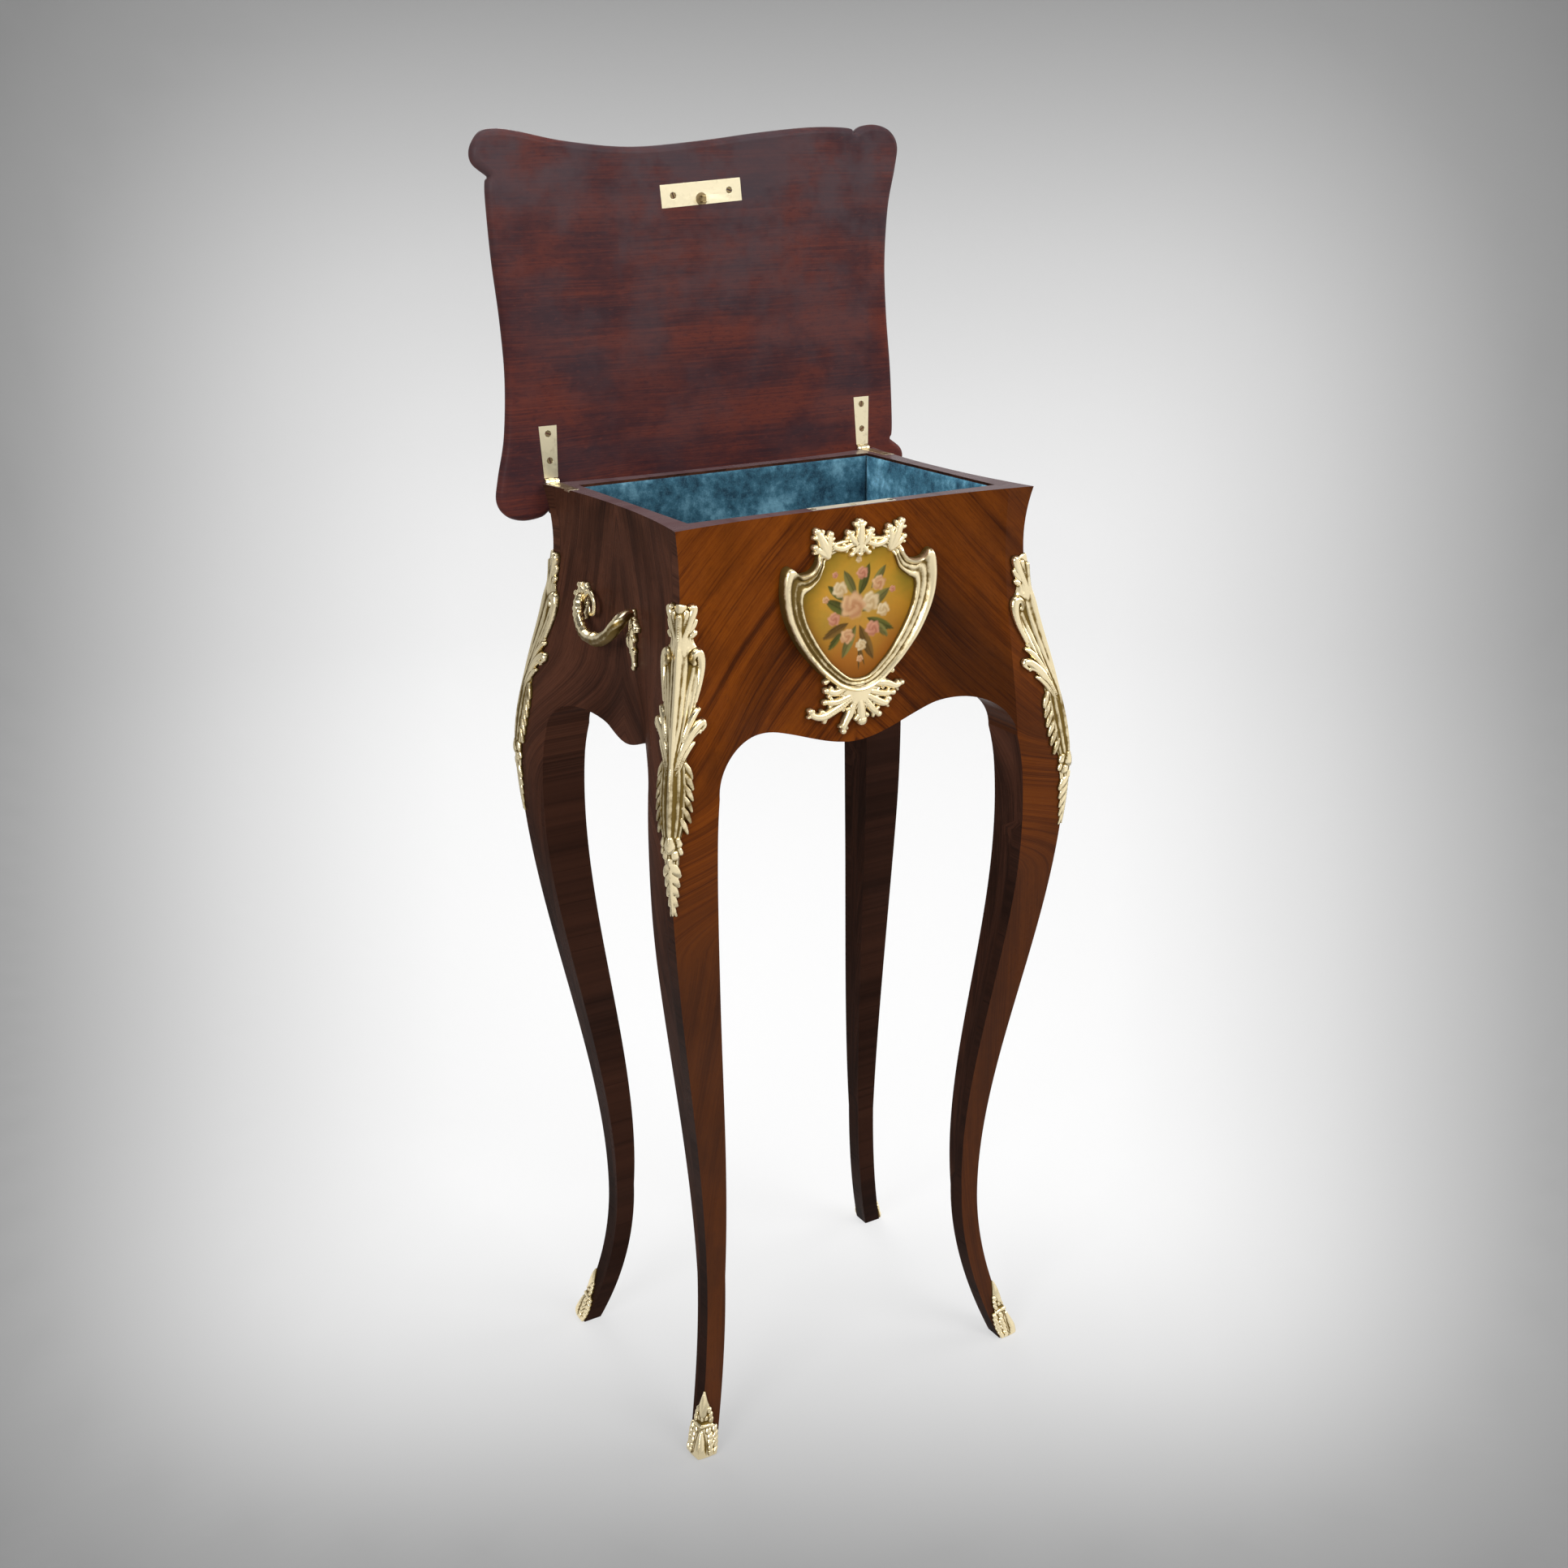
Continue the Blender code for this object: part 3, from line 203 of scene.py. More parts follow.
SABOT_LOBES = (
    ((0.0, 32.0, 2.4, 3.8), (0.0, 38.5, 3.0, 3.3), (0.0, 44.5, 2.4, 2.0), (0.0, 48.6, 1.3, 0.7)),
    ((0.0, 19.0, 2.8, 1.6), (0.0, 13.5, 3.6, 2.5), (0.0, 8.0, 3.9, 3.0), (0.0, 4.6, 3.6, 3.6),
     (0.0, 2.2, 3.2, 4.4)),
    ((0.0, 23.6, 3.2, 1.4), (4.0, 23.8, 3.2, 1.4), (8.0, 22.6, 3.0, 1.4)),
)

# Beads of the foot mounts: height up, half width, relief and places across, in millimetres
SABOT_BEADS = (
    (34.4, 2.3, 2.9, (4.6,)), (30.8, 2.5, 3.1, (5.8,)), (27.2, 2.6, 3.2, (6.6,)),
    (29.0, 1.9, 2.5, (0.0, 2.8)), (20.0, 2.7, 3.2, (5.2, 10.6)), (16.2, 2.7, 3.2, (6.4, 11.8)),
    (12.2, 2.8, 3.1, (6.6, 12.4)), (8.4, 2.8, 3.0, (7.6, 12.8)),
    (14.2, 1.9, 2.6, (9.0,)), (10.2, 1.9, 2.6, (9.8,)),
    (4.8, 2.7, 3.6, (8.4, 12.9)), (1.8, 2.3, 3.4, (9.0, 12.8)),
)

# Camera fitted to the photograph, and the fall of the backdrop's light across its picture
CAMERA_ROWS = (
    (0.85703503, -0.51517332, -0.00934957),
    (0.17900918, 0.28068395, 0.94295929),
    (-0.48316320, -0.80982281, 0.33277673),
)
CAMERA_AT = (-0.71100802, -1.18499821, 0.99050737)
CAMERA_LENS = 42.57
PICTURE_HALF = 0.4228
PICTURE_SHIFT = 0.004
SWEEP_FALL = (
    (0.0, 0.173, 0.334, 0.557, 0.778, 0.970, 1.094, 1.221, 1.6),
    (1.0, 0.973, 0.867, 0.660, 0.387, 0.167, 0.100, 0.020, 0.0),
)
SWEEP_FLAT = 2.4
SWEEP_BEND = 0.9

# Softboxes: name, place, height aimed at, size, setting for the power, and share of it
LIGHTS = (
    ("key softbox", (0.9, -1.9, 2.3), 0.55, 1.6, "key", 1.0),
    ("left softbox", (-2.1, -1.2, 1.6), 0.5, 1.2, "fill", 1.8),
    ("right softbox", (2.2, -0.3, 1.4), 0.5, 1.2, "fill", 0.8),
    ("top softbox", (0.0, 0.1, 2.7), 0.6, 1.6, "fill", 1.3),
    ("back softbox", (0.3, 2.1, 1.8), 0.5, 1.4, "fill", 0.9),
)

# Sockets of the node groups
VECTOR = "NodeSocketVector"
COLOUR = "NodeSocketColor"
NUMBER = "NodeSocketFloat"
WHITE = (1, 1, 1, 1)
BLACK = (0, 0, 0, 1)


# Settings


def colour(name, description, default):
    """A colour setting."""
    return FloatVectorProperty(
        name=name, description=description, subtype="COLOR", size=3, min=0.0, max=1.0, default=default
    )


def length(name, description, default):
    """A length setting."""
    return FloatProperty(name=name, description=description, unit="LENGTH", min=0.0, default=default)


class WoodSettings(bpy.types.PropertyGroup):
    """Colours of the veneers and of the lid"""

    front_light: colour("Front light", "Light wood between the stripes of the front", (0.230, 0.056, 0.005))
    front_mid: colour("Front middle", "Middle colour of the front veneer", (0.142, 0.032, 0.0035))
    front_dark: colour("Front stripe", "Dark stripes of the front veneer", (0.036, 0.009, 0.0025))
    front_shade: colour("Front shade", "Darkened veneer right of the cartouche", (0.0225, 0.0085, 0.0040))
    leg_shade: colour("Leg shade", "Browner wood lower down the legs", (0.064, 0.027, 0.016))
    # The side colours are the front veneer made darker: partly the wood's own colour, partly painted shade
    # on the faces that look sideways
    side_light: colour("Side light", "Light wood of the sides", (0.106, 0.040, 0.023))
    side_mid: colour("Side middle", "Middle colour of the sides", (0.054, 0.022, 0.014))
    side_dark: colour("Side dark", "Dark streaks of the sides", (0.014, 0.007, 0.005))
    lid_light: colour("Lid light", "Red patches of the lid", (0.156, 0.037, 0.024))
    lid_mid: colour("Lid middle", "Middle colour of the lid", (0.071, 0.024, 0.024))
    lid_dark: colour("Lid dark", "Purple clouds of the lid", (0.034, 0.016, 0.021))
    # Lid haze: greyed polish with painted sheen towards the lid's front edge
    lid_haze_and_sheen: colour("Lid haze", "Greyed polish towards the lid's front edge", (0.086, 0.066, 0.074))
    # The rim's greyish purple is the banding's colour with painted sheen
    rim: colour("Rim", "Edge banding on top of the rim", (0.175, 0.118, 0.122))
    carcase: colour("Carcase", "Plain wood under the case", (0.170, 0.095, 0.048))
    edge: length("Edge", "Softening of the wooden edges", 0.0007)


class GiltSettings(bpy.types.PropertyGroup):
    """Colours of the gilt and brass pieces"""

    gilt: colour("Gilt", "Raised gilt bronze", (1.000, 0.850, 0.540))
    gilt_dark: colour("Gilt shadow", "Tarnish in the hollows of the mounts", (0.190, 0.120, 0.028))
    brass: colour("Brass", "Hinges, keep and screws", (0.860, 0.760, 0.520))
    brass_dark: colour("Brass tarnish", "Tarnish on the brasses", (0.260, 0.190, 0.095))
    # Pale and half metallic so the top plate reads bright: worn brass with painted sheen
    plate: colour("Lock plate", "Worn brass of the lock's top plate", (0.900, 0.830, 0.660))
    screw: colour("Screws", "Darkened screw heads", (0.150, 0.135, 0.070))
    steel: colour("Steel", "Lock works", (0.360, 0.350, 0.340))
    steel_dark: colour("Steel tarnish", "Tarnish on the lock works", (0.080, 0.060, 0.050))
    edge: length("Edge", "Softening of the brass edges", 0.00025)


class VelvetSettings(bpy.types.PropertyGroup):
    """Colours of the velvet in the well"""

    pile: colour("Pile", "Velvet seen straight", (0.037, 0.118, 0.172))
    deep: colour("Deep pile", "Velvet brushed away from the light", (0.008, 0.030, 0.053))
    bloom: colour("Bloom", "Velvet brushed towards the light", (0.192, 0.395, 0.500))


class StageSettings(bpy.types.PropertyGroup):
    """Floor, backdrop and lights"""

    bright: colour("Bright", "Backdrop behind the table", (0.955, 0.955, 0.955))
    dim: colour("Dim", "Backdrop far from the table", (0.250, 0.250, 0.250))
    round: colour("Round about", "Backdrop behind the camera and on the right", (0.95, 0.95, 0.95))
    shade: colour("Shaded side", "Backdrop on the left", (0.40, 0.40, 0.40))
    key: FloatProperty(name="Key", description="Power of the main soft light", unit="POWER", default=31.5)
    fill: FloatProperty(name="Fill", description="Power of the side lights", unit="POWER", default=16.0)


# Curves and case shape


def ease(t):
    """Smooth step from 0 to 1, held flat outside."""
    t = np.clip(t, 0.0, 1.0)
    return t * t * (3.0 - 2.0 * t)


def window(x, a, b, c, d):
    """1 between b and c, falling smoothly to 0 at a and d."""
    return ease((x - a) / (b - a)) * ease((d - x) / (d - c))


def spline(points, steps):
    """Rows along a smooth curve through the given rows, both ends included."""
    p = np.asarray(points, float)
    p = np.vstack([2 * p[0] - p[1], p, 2 * p[-1] - p[-2]])
    rows = []
    for i in range(1, len(p) - 2):
        for t in np.arange(steps) / steps:
            bend = (2 * p[i - 1] - 5 * p[i] + 4 * p[i + 1] - p[i + 2]) * t * t
            bend += (3 * p[i] - p[i - 1] - 3 * p[i + 1] + p[i + 2]) * t ** 3
            rows.append((2 * p[i] + (p[i + 1] - p[i - 1]) * t + bend) / 2)
    return np.array(rows + [p[-2]])


def outward(loop):
    """Unit normals of a closed plan loop that runs counter-clockwise."""
    chord = np.roll(loop, -1, axis=0) - np.roll(loop, 1, axis=0)
    chord /= np.linalg.norm(chord, axis=1)[:, None]
    return np.column_stack([chord[:, 1], -chord[:, 0]])


def corner_out(z):
    """Distance of the corner line outside the rim corner, along each axis, at a height."""
    z = np.asarray(z, float)
    down = RIM_H - z
    waist = -WAIST_IN * (1.0 - (1.0 - down / WAIST_DOWN) ** 2)
    knee = -WAIST_IN + (KNEE_OUT + WAIST_IN) * ease((down - WAIST_DOWN) / (KNEE_DOWN - WAIST_DOWN))
    shank = KNEE_OUT - (KNEE_OUT + ANKLE_IN) * ease((down - KNEE_DOWN) / (RIM_H - KNEE_DOWN - ANKLE_UP))
    toe = -ANKLE_IN + (ANKLE_IN + TOE_OUT) * (1.0 - z / ANKLE_UP) ** 2
    low = np.where(z > ANKLE_UP, shank, toe)
    return np.where(down < WAIST_DOWN, waist, np.where(down < KNEE_DOWN, knee, low))


def leg_side(z):
    """Side of the leg's square section at a height."""
    meet = RIM_H - MEET_DOWN
    share = (meet - z) / (meet - ANKLE_UP)
    shank = (WALL + corner_out(meet)) * (1.0 - share) + ANKLE_SIDE * share
    toe = ANKLE_SIDE + (TOE_SIDE - ANKLE_SIDE) * (1.0 - z / ANKLE_UP)
    return np.where(z >= meet, WALL + corner_out(z), np.where(z > ANKLE_UP, shank, toe))


def face_out(rim_half, along, z):
    """Distance of a case face outside the rim corner, at a distance along from its middle."""
    corner = corner_out(z)
    reach = np.clip((rim_half + corner - np.abs(along)) / FACE_RUN, 0.0, 1.0)
    turn = 1.0 + FACE_TURN * ease((RIM_H - z) / KNEE_DOWN)
    inward = 1.0 - (1.0 - reach ** turn) ** 2
    fade = ease((z - RIM_H + SQUARE_DOWN) / (SQUARE_DOWN - MEET_DOWN))
    return corner - (corner + FACE_SET) * inward * fade


def apron_low(along, post, apron):
    """Height of an apron's lower edge at a distance along from its middle."""
    arch_down, drop_down, arch_run = apron
    arch = post - arch_run
    along = np.abs(along)
    drop = drop_down - (drop_down - arch_down) * ease(along / arch)
    round_in = np.clip((along - arch) / arch_run, 0.0, 1.0)
    fall = arch_down + (MEET_DOWN - arch_down) * (1.0 - np.sqrt(1.0 - round_in ** 2))
    return RIM_H - np.where(along < arch, drop, fall)


def on_corner(sx, sy, a, z, lift):
    """Points standing off a leg's outer corner: a is below 0 on the front or back, above 0 on the side."""
    out = corner_out(z)
    x0, y0 = RIM_W / 2 + out, RIM_D / 2 + out
    front_y = RIM_D / 2 + face_out(RIM_W / 2, x0 + a, z)
    side_x = RIM_W / 2 + face_out(RIM_D / 2, y0 - a, z)
    turn = (np.clip(a / 0.004, -1.0, 1.0) + 1.0) * math.pi / 4
    x = np.where(a < 0.0, x0 + a, side_x) + np.sin(turn) * lift
    y = np.where(a < 0.0, front_y, y0 - a) + np.cos(turn) * lift
    return np.stack([sx * x, sy * y, z + 0.0 * x], axis=-1)


# Meshes


def piece(name, points, faces, body="case", cad=(), angle=38.0):
    """A new mesh piece that rides on a body and stands for its solids."""
    mesh = bpy.data.meshes.new(name)
    mesh.from_pydata(np.asarray(points).tolist(), [], faces)
    bm = bmesh.new()
    bm.from_mesh(mesh)
    bmesh.ops.recalc_face_normals(bm, faces=bm.faces)
    bm.to_mesh(mesh)
    bm.free()
    mesh.shade_smooth()
    mesh.set_sharp_from_angle(angle=math.radians(angle))
    obj = bpy.data.objects.new(name, mesh)
    bpy.context.scene.collection.objects.link(obj)
    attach(obj, body)
    if cad:
        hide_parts(*cad)
    return obj


def note(obj, name, kind, values):
    """Writes one value for each point of a piece, for its material to read."""
    layer = obj.data.attributes.new(name, kind, "POINT")
    field = {"FLOAT": "value", "FLOAT_VECTOR": "vector", "FLOAT_COLOR": "color"}[kind]
    layer.data.foreach_set(field, np.asarray(values, np.float32).ravel())


def points_of(obj):
    """The piece's points as rows of x, y and z."""
    co = np.zeros(len(obj.data.vertices) * 3, np.float32)
    obj.data.vertices.foreach_get("co", co)
    return co.reshape(-1, 3).astype(float)


def grid_faces(cols, rows, start=0):
    """Quads over a grid of points counted column by column."""
    a = start + np.arange(cols - 1)[:, None] * rows + np.arange(rows - 1)[None, :]
    quads = np.stack([a, a + rows, a + rows + 1, a + 1], axis=-1).reshape(-1, 4)
    return [tuple(q) for q in quads.tolist()]


def ring_faces(levels, count, closed=False):
    """Quads between matching loops of points. A closed set joins the last loop to the first."""
    faces = []
    for j in range(levels if closed else levels - 1):
        m = (j + 1) % levels
        for i in range(count):
            k = (i + 1) % count
            faces.append((j * count + i, j * count + k, m * count + k, m * count + i))
    return faces


def shell(outer, inner):
    """Points and faces of a closed solid between two grids."""
    cols, rows = outer.shape[:2]
    count = cols * rows
    rim = [i * rows for i in range(cols)] + [(cols - 1) * rows + j for j in range(1, rows)]
    rim += [i * rows + rows - 1 for i in range(cols - 2, -1, -1)] + list(range(rows - 2, 0, -1))
    faces = grid_faces(cols, rows) + [tuple(reversed(f)) for f in grid_faces(cols, rows, count)]
    faces += [(a, a + count, b + count, b) for a, b in zip(rim, rim[1:] + rim[:1])]
    return np.concatenate([outer.reshape(-1, 3), inner.reshape(-1, 3)]), faces


def loft(rows):
    """Points and faces of a closed solid through matching loops, capped at both ends."""
    rows = np.asarray(rows)
    levels, count = rows.shape[:2]
    faces = ring_faces(levels, count)
    faces.append(tuple(range(count)))
    faces.append(tuple((levels - 1) * count + i for i in range(count)))
    return rows.reshape(-1, 3), faces


def soften(obj, width, segments=2, angle=38.0):
    """Rounds a piece's sharp edges."""
    bevel = obj.modifiers.new("edge", "BEVEL")
    bevel.width = width
    bevel.segments = segments
    bevel.limit_method = "ANGLE"
    bevel.angle_limit = math.radians(angle)
    bevel.harden_normals = True
    return obj


def way_out(body):
    """The way that a body's brasses face: out of the lid's underside, or up."""
    return LID_FACE if body == "lid" else np.array((0.0, 0.0, 1.0))


def dress(node, body, material, edge=0.0):
    """A copy of a solid with clean smooth shading and soft edges, a hair proud, standing for the solid."""
    mesh = NODES[node].data.copy()
    mesh.materials.clear()
    bm = bmesh.new()
    bm.from_mesh(mesh)
    bmesh.ops.remove_doubles(bm, verts=bm.verts, dist=0.00001)
    bmesh.ops.dissolve_limit(bm, angle_limit=math.radians(1.0), verts=bm.verts, edges=bm.edges)
    bmesh.ops.translate(bm, verts=bm.verts, vec=way_out(body) * PROUD)
    bmesh.ops.recalc_face_normals(bm, faces=bm.faces)
    bm.to_mesh(mesh)
    bm.free()
    mesh.shade_smooth()
    mesh.set_sharp_from_angle(angle=math.radians(35.0))
    obj = bpy.data.objects.new(node + "_dressed", mesh)
    bpy.context.scene.collection.objects.link(obj)
    obj.data.materials.append(material)
    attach(obj, body)
    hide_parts(node)
    if edge:
        soften(obj, edge)
    return obj


# Cast relief


def blur(field, reach):
    """A field averaged over a square of cells."""
    for axis in (0, 1):
        parts = [np.roll(field, k, axis=axis) for k in range(-reach, reach + 1)]
        field = sum(parts) / len(parts)
    return field


def leaf_lobes(leaves):
    """Each leaf as a fleshy blade with a knob at its tip, scalloped by pairs of lower lobes."""
    lobes = []
    for stem, pairs in leaves:
        path = spline(stem, 12)
        swell = 1.15 if pairs else 1.0
        lobes.append([(a, b, high, size * swell) for a, b, high, size in stem])
        if pairs:
            a, b, high, size = stem[-1]
            lobes.append([(a - 0.3, b, high * 1.12, size * 1.45), (a + 0.3, b, high * 1.12, size * 1.45)])
        for k in range(pairs):
            at = int((k + 0.40) / pairs * (len(path) - 1))
            p = path[at]
            ahead = (path[min(at + 1, len(path) - 1)] - path[max(at - 1, 0)])[:2]
            ahead /= np.linalg.norm(ahead)
            for way in (1.0, -1.0):
                aside = way * np.array((-ahead[1], ahead[0]))
                root = p[:2] + aside * p[3] * 0.50
                tip = p[:2] + (0.70 * ahead + 1.45 * aside) * p[3]
                lobes.append([(*root, p[2] * 0.88, p[3] * 0.70), (*tip, p[2] * 0.80, max(p[3] * 0.62, 1.0))])
    return lobes


def lobe_field(u, v, lobes, mirror=True):
    """Height of overlapping rounded lobes, and distance inside their outline, over a grid of places."""
    rise = np.zeros((len(u), len(v)))
    inside = np.full(rise.shape, OUTSIDE)
    for rows in lobes:
        fine = spline(rows, 6) * 0.001
        vein = 0.13 if len(rows) > 2 and fine[:, 3].max() < 0.005 else 0.0
        for way in ((1.0, -1.0) if mirror and fine[:, 0].max() > 0.0001 else (1.0,)):
            for p, q in zip(fine, fine[1:]):
                reach = max(p[3], q[3])
                a0, a1 = sorted((way * p[0], way * q[0]))
                b0, b1 = sorted((p[1], q[1]))
                i0, i1 = np.searchsorted(u, (a0 - reach, a1 + reach))
                j0, j1 = np.searchsorted(v, (b0 - reach, b1 + reach))
                du = u[i0:i1, None] - way * p[0]
                dv = v[None, j0:j1] - p[1]
                eu, ev = way * (q[0] - p[0]), q[1] - p[1]
                t = np.clip((du * eu + dv * ev) / (eu * eu + ev * ev + 1e-14), 0.0, 1.0)
                off = np.sqrt((du - t * eu) ** 2 + (dv - t * ev) ** 2)
                radius = p[3] + (q[3] - p[3]) * t
                high = p[2] + (q[2] - p[2]) * t
                share = np.clip(off / radius, 0.0, 1.0)
                dome = 0.45 + 0.55 * np.sqrt(1.0 - share ** 2) - vein * np.exp(-(share / 0.22) ** 2)
                dome = np.where(off < radius, high * dome, 0.0)
                rise[i0:i1, j0:j1] = np.maximum(rise[i0:i1, j0:j1], dome)
                inside[i0:i1, j0:j1] = np.maximum(inside[i0:i1, j0:j1], radius - off)
    return rise, inside


def cut_relief(u, v, rise, inside, thin=0.0006):
    """A closed cast plate over the grid cells that lie inside: places, heights, hollows and faces."""
    near, wide = blur(rise, 2) - rise, blur(blur(rise, 4), 4) - rise
    hollow = np.clip(0.14 + near / 0.0006 + wide / 0.0016, 0.0, 1.0)
    held = inside > 0.0
    number = np.full(held.shape, -1)
    number[held] = np.arange(held.sum())
    iu, iv = np.nonzero(held)
    places = np.column_stack([u[iu], v[iv]]).tolist()
    heights = np.maximum(rise[held], thin).tolist()
    hollows = hollow[held].tolist()
    corners = (held[:-1, :-1], held[1:, :-1], held[1:, 1:], held[:-1, 1:])
    full = corners[0] & corners[1] & corners[2] & corners[3]
    part = (corners[0] | corners[1] | corners[2] | corners[3]) & ~full
    numbers = (number[:-1, :-1], number[1:, :-1], number[1:, 1:], number[:-1, 1:])
    faces = [tuple(f) for f in np.stack([n[full] for n in numbers], axis=-1).tolist()]
    crossings = {}

    def crossing(a, b):
        key = (min(a, b), max(a, b))
        if key not in crossings:
            t = min(max(inside[a] / (inside[a] - inside[b]), 0.06), 0.94)
            crossings[key] = len(places)
            places.append([u[a[0]] + (u[b[0]] - u[a[0]]) * t, v[a[1]] + (v[b[1]] - v[a[1]]) * t])
            heights.append(thin)
            hollows.append(0.85)
        return crossings[key]

    for i, j in zip(*np.nonzero(part)):
        ring = ((i, j), (i + 1, j), (i + 1, j + 1), (i, j + 1))
        loop = []
        for a, b in zip(ring, ring[1:] + ring[:1]):
            if held[a]:
                loop.append(int(number[a]))
            if held[a] != held[b]:
                loop.append(crossing(a, b))
        faces.append(tuple(loop))
    edges = {pair for f in faces for pair in zip(f, f[1:] + f[:1])}
    rim = sorted(pair for pair in edges if (pair[1], pair[0]) not in edges)
    count = len(places)
    faces += [tuple(i + count for i in reversed(f)) for f in faces]
    faces += [(b, a, a + count, b + count) for a, b in rim]
    return np.array(places), np.array(heights), np.array(hollows), faces


class Casting:
    """Collects cut relief and tapering scrolls into one cast piece."""

    def __init__(self):
        self.points, self.faces, self.hollow = [], [], []
        self.count = 0

    def add(self, points, faces, hollow):
        """Adds points and faces, with how hollow each point lies."""
        self.points.append(points)
        self.hollow.append(hollow)
        self.faces += [tuple(i + self.count for i in f) for f in faces]
        self.count += len(points)

    def plate(self, relief, place):
        """Adds a cut relief, with a place on the table for its rows of across, along and out."""
        places, heights, hollows, faces = relief
        front = place(np.column_stack([places, heights]))
        back = place(np.column_stack([places, 0.0 * heights]))
        # Tarnish in the hollows, with painted shade where the reliefs add it, and dark on the back against
        # the wood
        tarnish_and_shade = np.concatenate([hollows, np.full(len(hollows), BACK_SOIL)])
        self.add(np.concatenate([front, back]), faces, tarnish_and_shade)

    def scroll(self, centres, radii, normals, flat, ribs=0, depth=0.0, sides=12):
        """A round or flattened lobe along a path, closed to a blunt round at both ends."""
        first, last = centres[0] - centres[1], centres[-1] - centres[-2]
        first = first / (np.linalg.norm(first) + TINY) * radii[0]
        last = last / (np.linalg.norm(last) + TINY) * radii[-1]
        start = [centres[0] + first * 0.85, centres[0] + first * 0.55]
        end = [centres[-1] + last * 0.55, centres[-1] + last * 0.85]
        centres = np.vstack([start, centres, end])
        blunt = np.array((0.45, 0.82))
        radii = np.concatenate([radii[0] * blunt, radii, radii[-1] * blunt[::-1]])
        normals = np.vstack([normals[:1], normals[:1], normals, normals[-1:], normals[-1:]])
        along = np.gradient(centres, axis=0)
        along /= np.linalg.norm(along, axis=1)[:, None] + TINY
        across = np.cross(normals, along)
        across /= np.linalg.norm(across, axis=1)[:, None] + TINY
        up = np.cross(along, across)
        turn = np.arange(sides) * 2.0 * math.pi / sides
        wave = 1.0 + depth * np.cos(ribs * (turn - math.pi / 2))
        ring_a = np.cos(turn) * wave
        ring_u = np.sin(turn) * wave * flat
        size = radii[:, None, None]
        rings = centres[:, None, :] + size * ring_a[None, :, None] * across[:, None, :]
        rings = rings + size * ring_u[None, :, None] * up[:, None, :]
        points, faces = loft(rings)
        groove = 0.5 - 0.5 * np.cos(ribs * (turn - math.pi / 2)) if ribs else 0.0 * turn
        low = np.clip(0.38 - 0.62 * np.sin(turn) + groove * 0.45, 0.0, 1.0)
        self.add(points, faces, np.tile(low, len(centres)))

    def piece(self, name, material, cad):
        """The finished casting on the case, standing for its solids."""
        obj = piece(name, np.concatenate(self.points), self.faces, "case", cad, 60.0)
        note(obj, "hollow", "FLOAT", np.concatenate(self.hollow))
        obj.data.materials.append(material)
        return obj


# Node groups


def new_group(name, inputs, outputs):
    """An empty shader group with named sockets: name, socket type, default."""
    group = bpy.data.node_groups.new(name, "ShaderNodeTree")
    for label, kind, default in inputs:
        socket = group.interface.new_socket(name=label, in_out="INPUT", socket_type=kind)
        socket.default_value = default
    for label, kind in outputs:
        group.interface.new_socket(name=label, in_out="OUTPUT", socket_type=kind)
    return Nodes(group), group.nodes.new("NodeGroupInput").outputs


class Nodes:
    """Adds and links nodes of one tree in few words."""

    def __init__(self, tree):
        self.tree = tree

    def node(self, kind, links=None, **values):
        """A new node with its settings, and its inputs linked or set."""
        made = self.tree.nodes.new("ShaderNode" + kind)
        for key, value in values.items():
            setattr(made, key, value)
        for key, value in (links or {}).items():
            self.put(made.inputs[key], value)
        return made

    def put(self, socket, value):
        """Links an output to a socket, or sets the socket's value."""
        if isinstance(value, bpy.types.NodeSocket):
            self.tree.links.new(value, socket)
            return
        if socket.type == "RGBA" and len(value) == 3:
            value = (*value, 1.0)
        socket.default_value = value

    def math(self, operation, a, b=0.0, c=0.0):
        return self.node("Math", {0: a, 1: b, 2: c}, operation=operation).outputs[0]

    def vector(self, x, y, z):
        return self.node("CombineXYZ", {0: x, 1: y, 2: z}).outputs[0]

    def noise(self, vector, scale=1.0, detail=2.0, roughness=0.5):
        links = {"Vector": vector, "Scale": scale, "Detail": detail, "Roughness": roughness}
        return self.node("TexNoise", links).outputs["Fac"]

    def span(self, value, low, high, to_low=0.0, to_high=1.0):
        """A value eased from one range into another."""
        links = {"Value": value, "From Min": low, "From Max": high, "To Min": to_low, "To Max": to_high}
        return self.node("MapRange", links, interpolation_type="SMOOTHSTEP").outputs["Result"]

    def mix(self, share, a, b):
        """Two colours mixed by a share."""
        made = self.node("Mix", data_type="RGBA")
        for at, value in ((0, share), (6, a), (7, b)):
            self.put(made.inputs[at], value)
        return made.outputs[2]

    def where(self):
        """Place on the piece, in metres."""
        return self.node("TexCoord").outputs["Object"]

    def attribute(self, name, output):
        return self.node("Attribute", attribute_name=name).outputs[output]

    def leave(self, **values):
        """Feeds the group's outputs."""
        out = self.tree.nodes.new("NodeGroupOutput")
        for key, value in values.items():
            self.put(out.inputs[key], value)


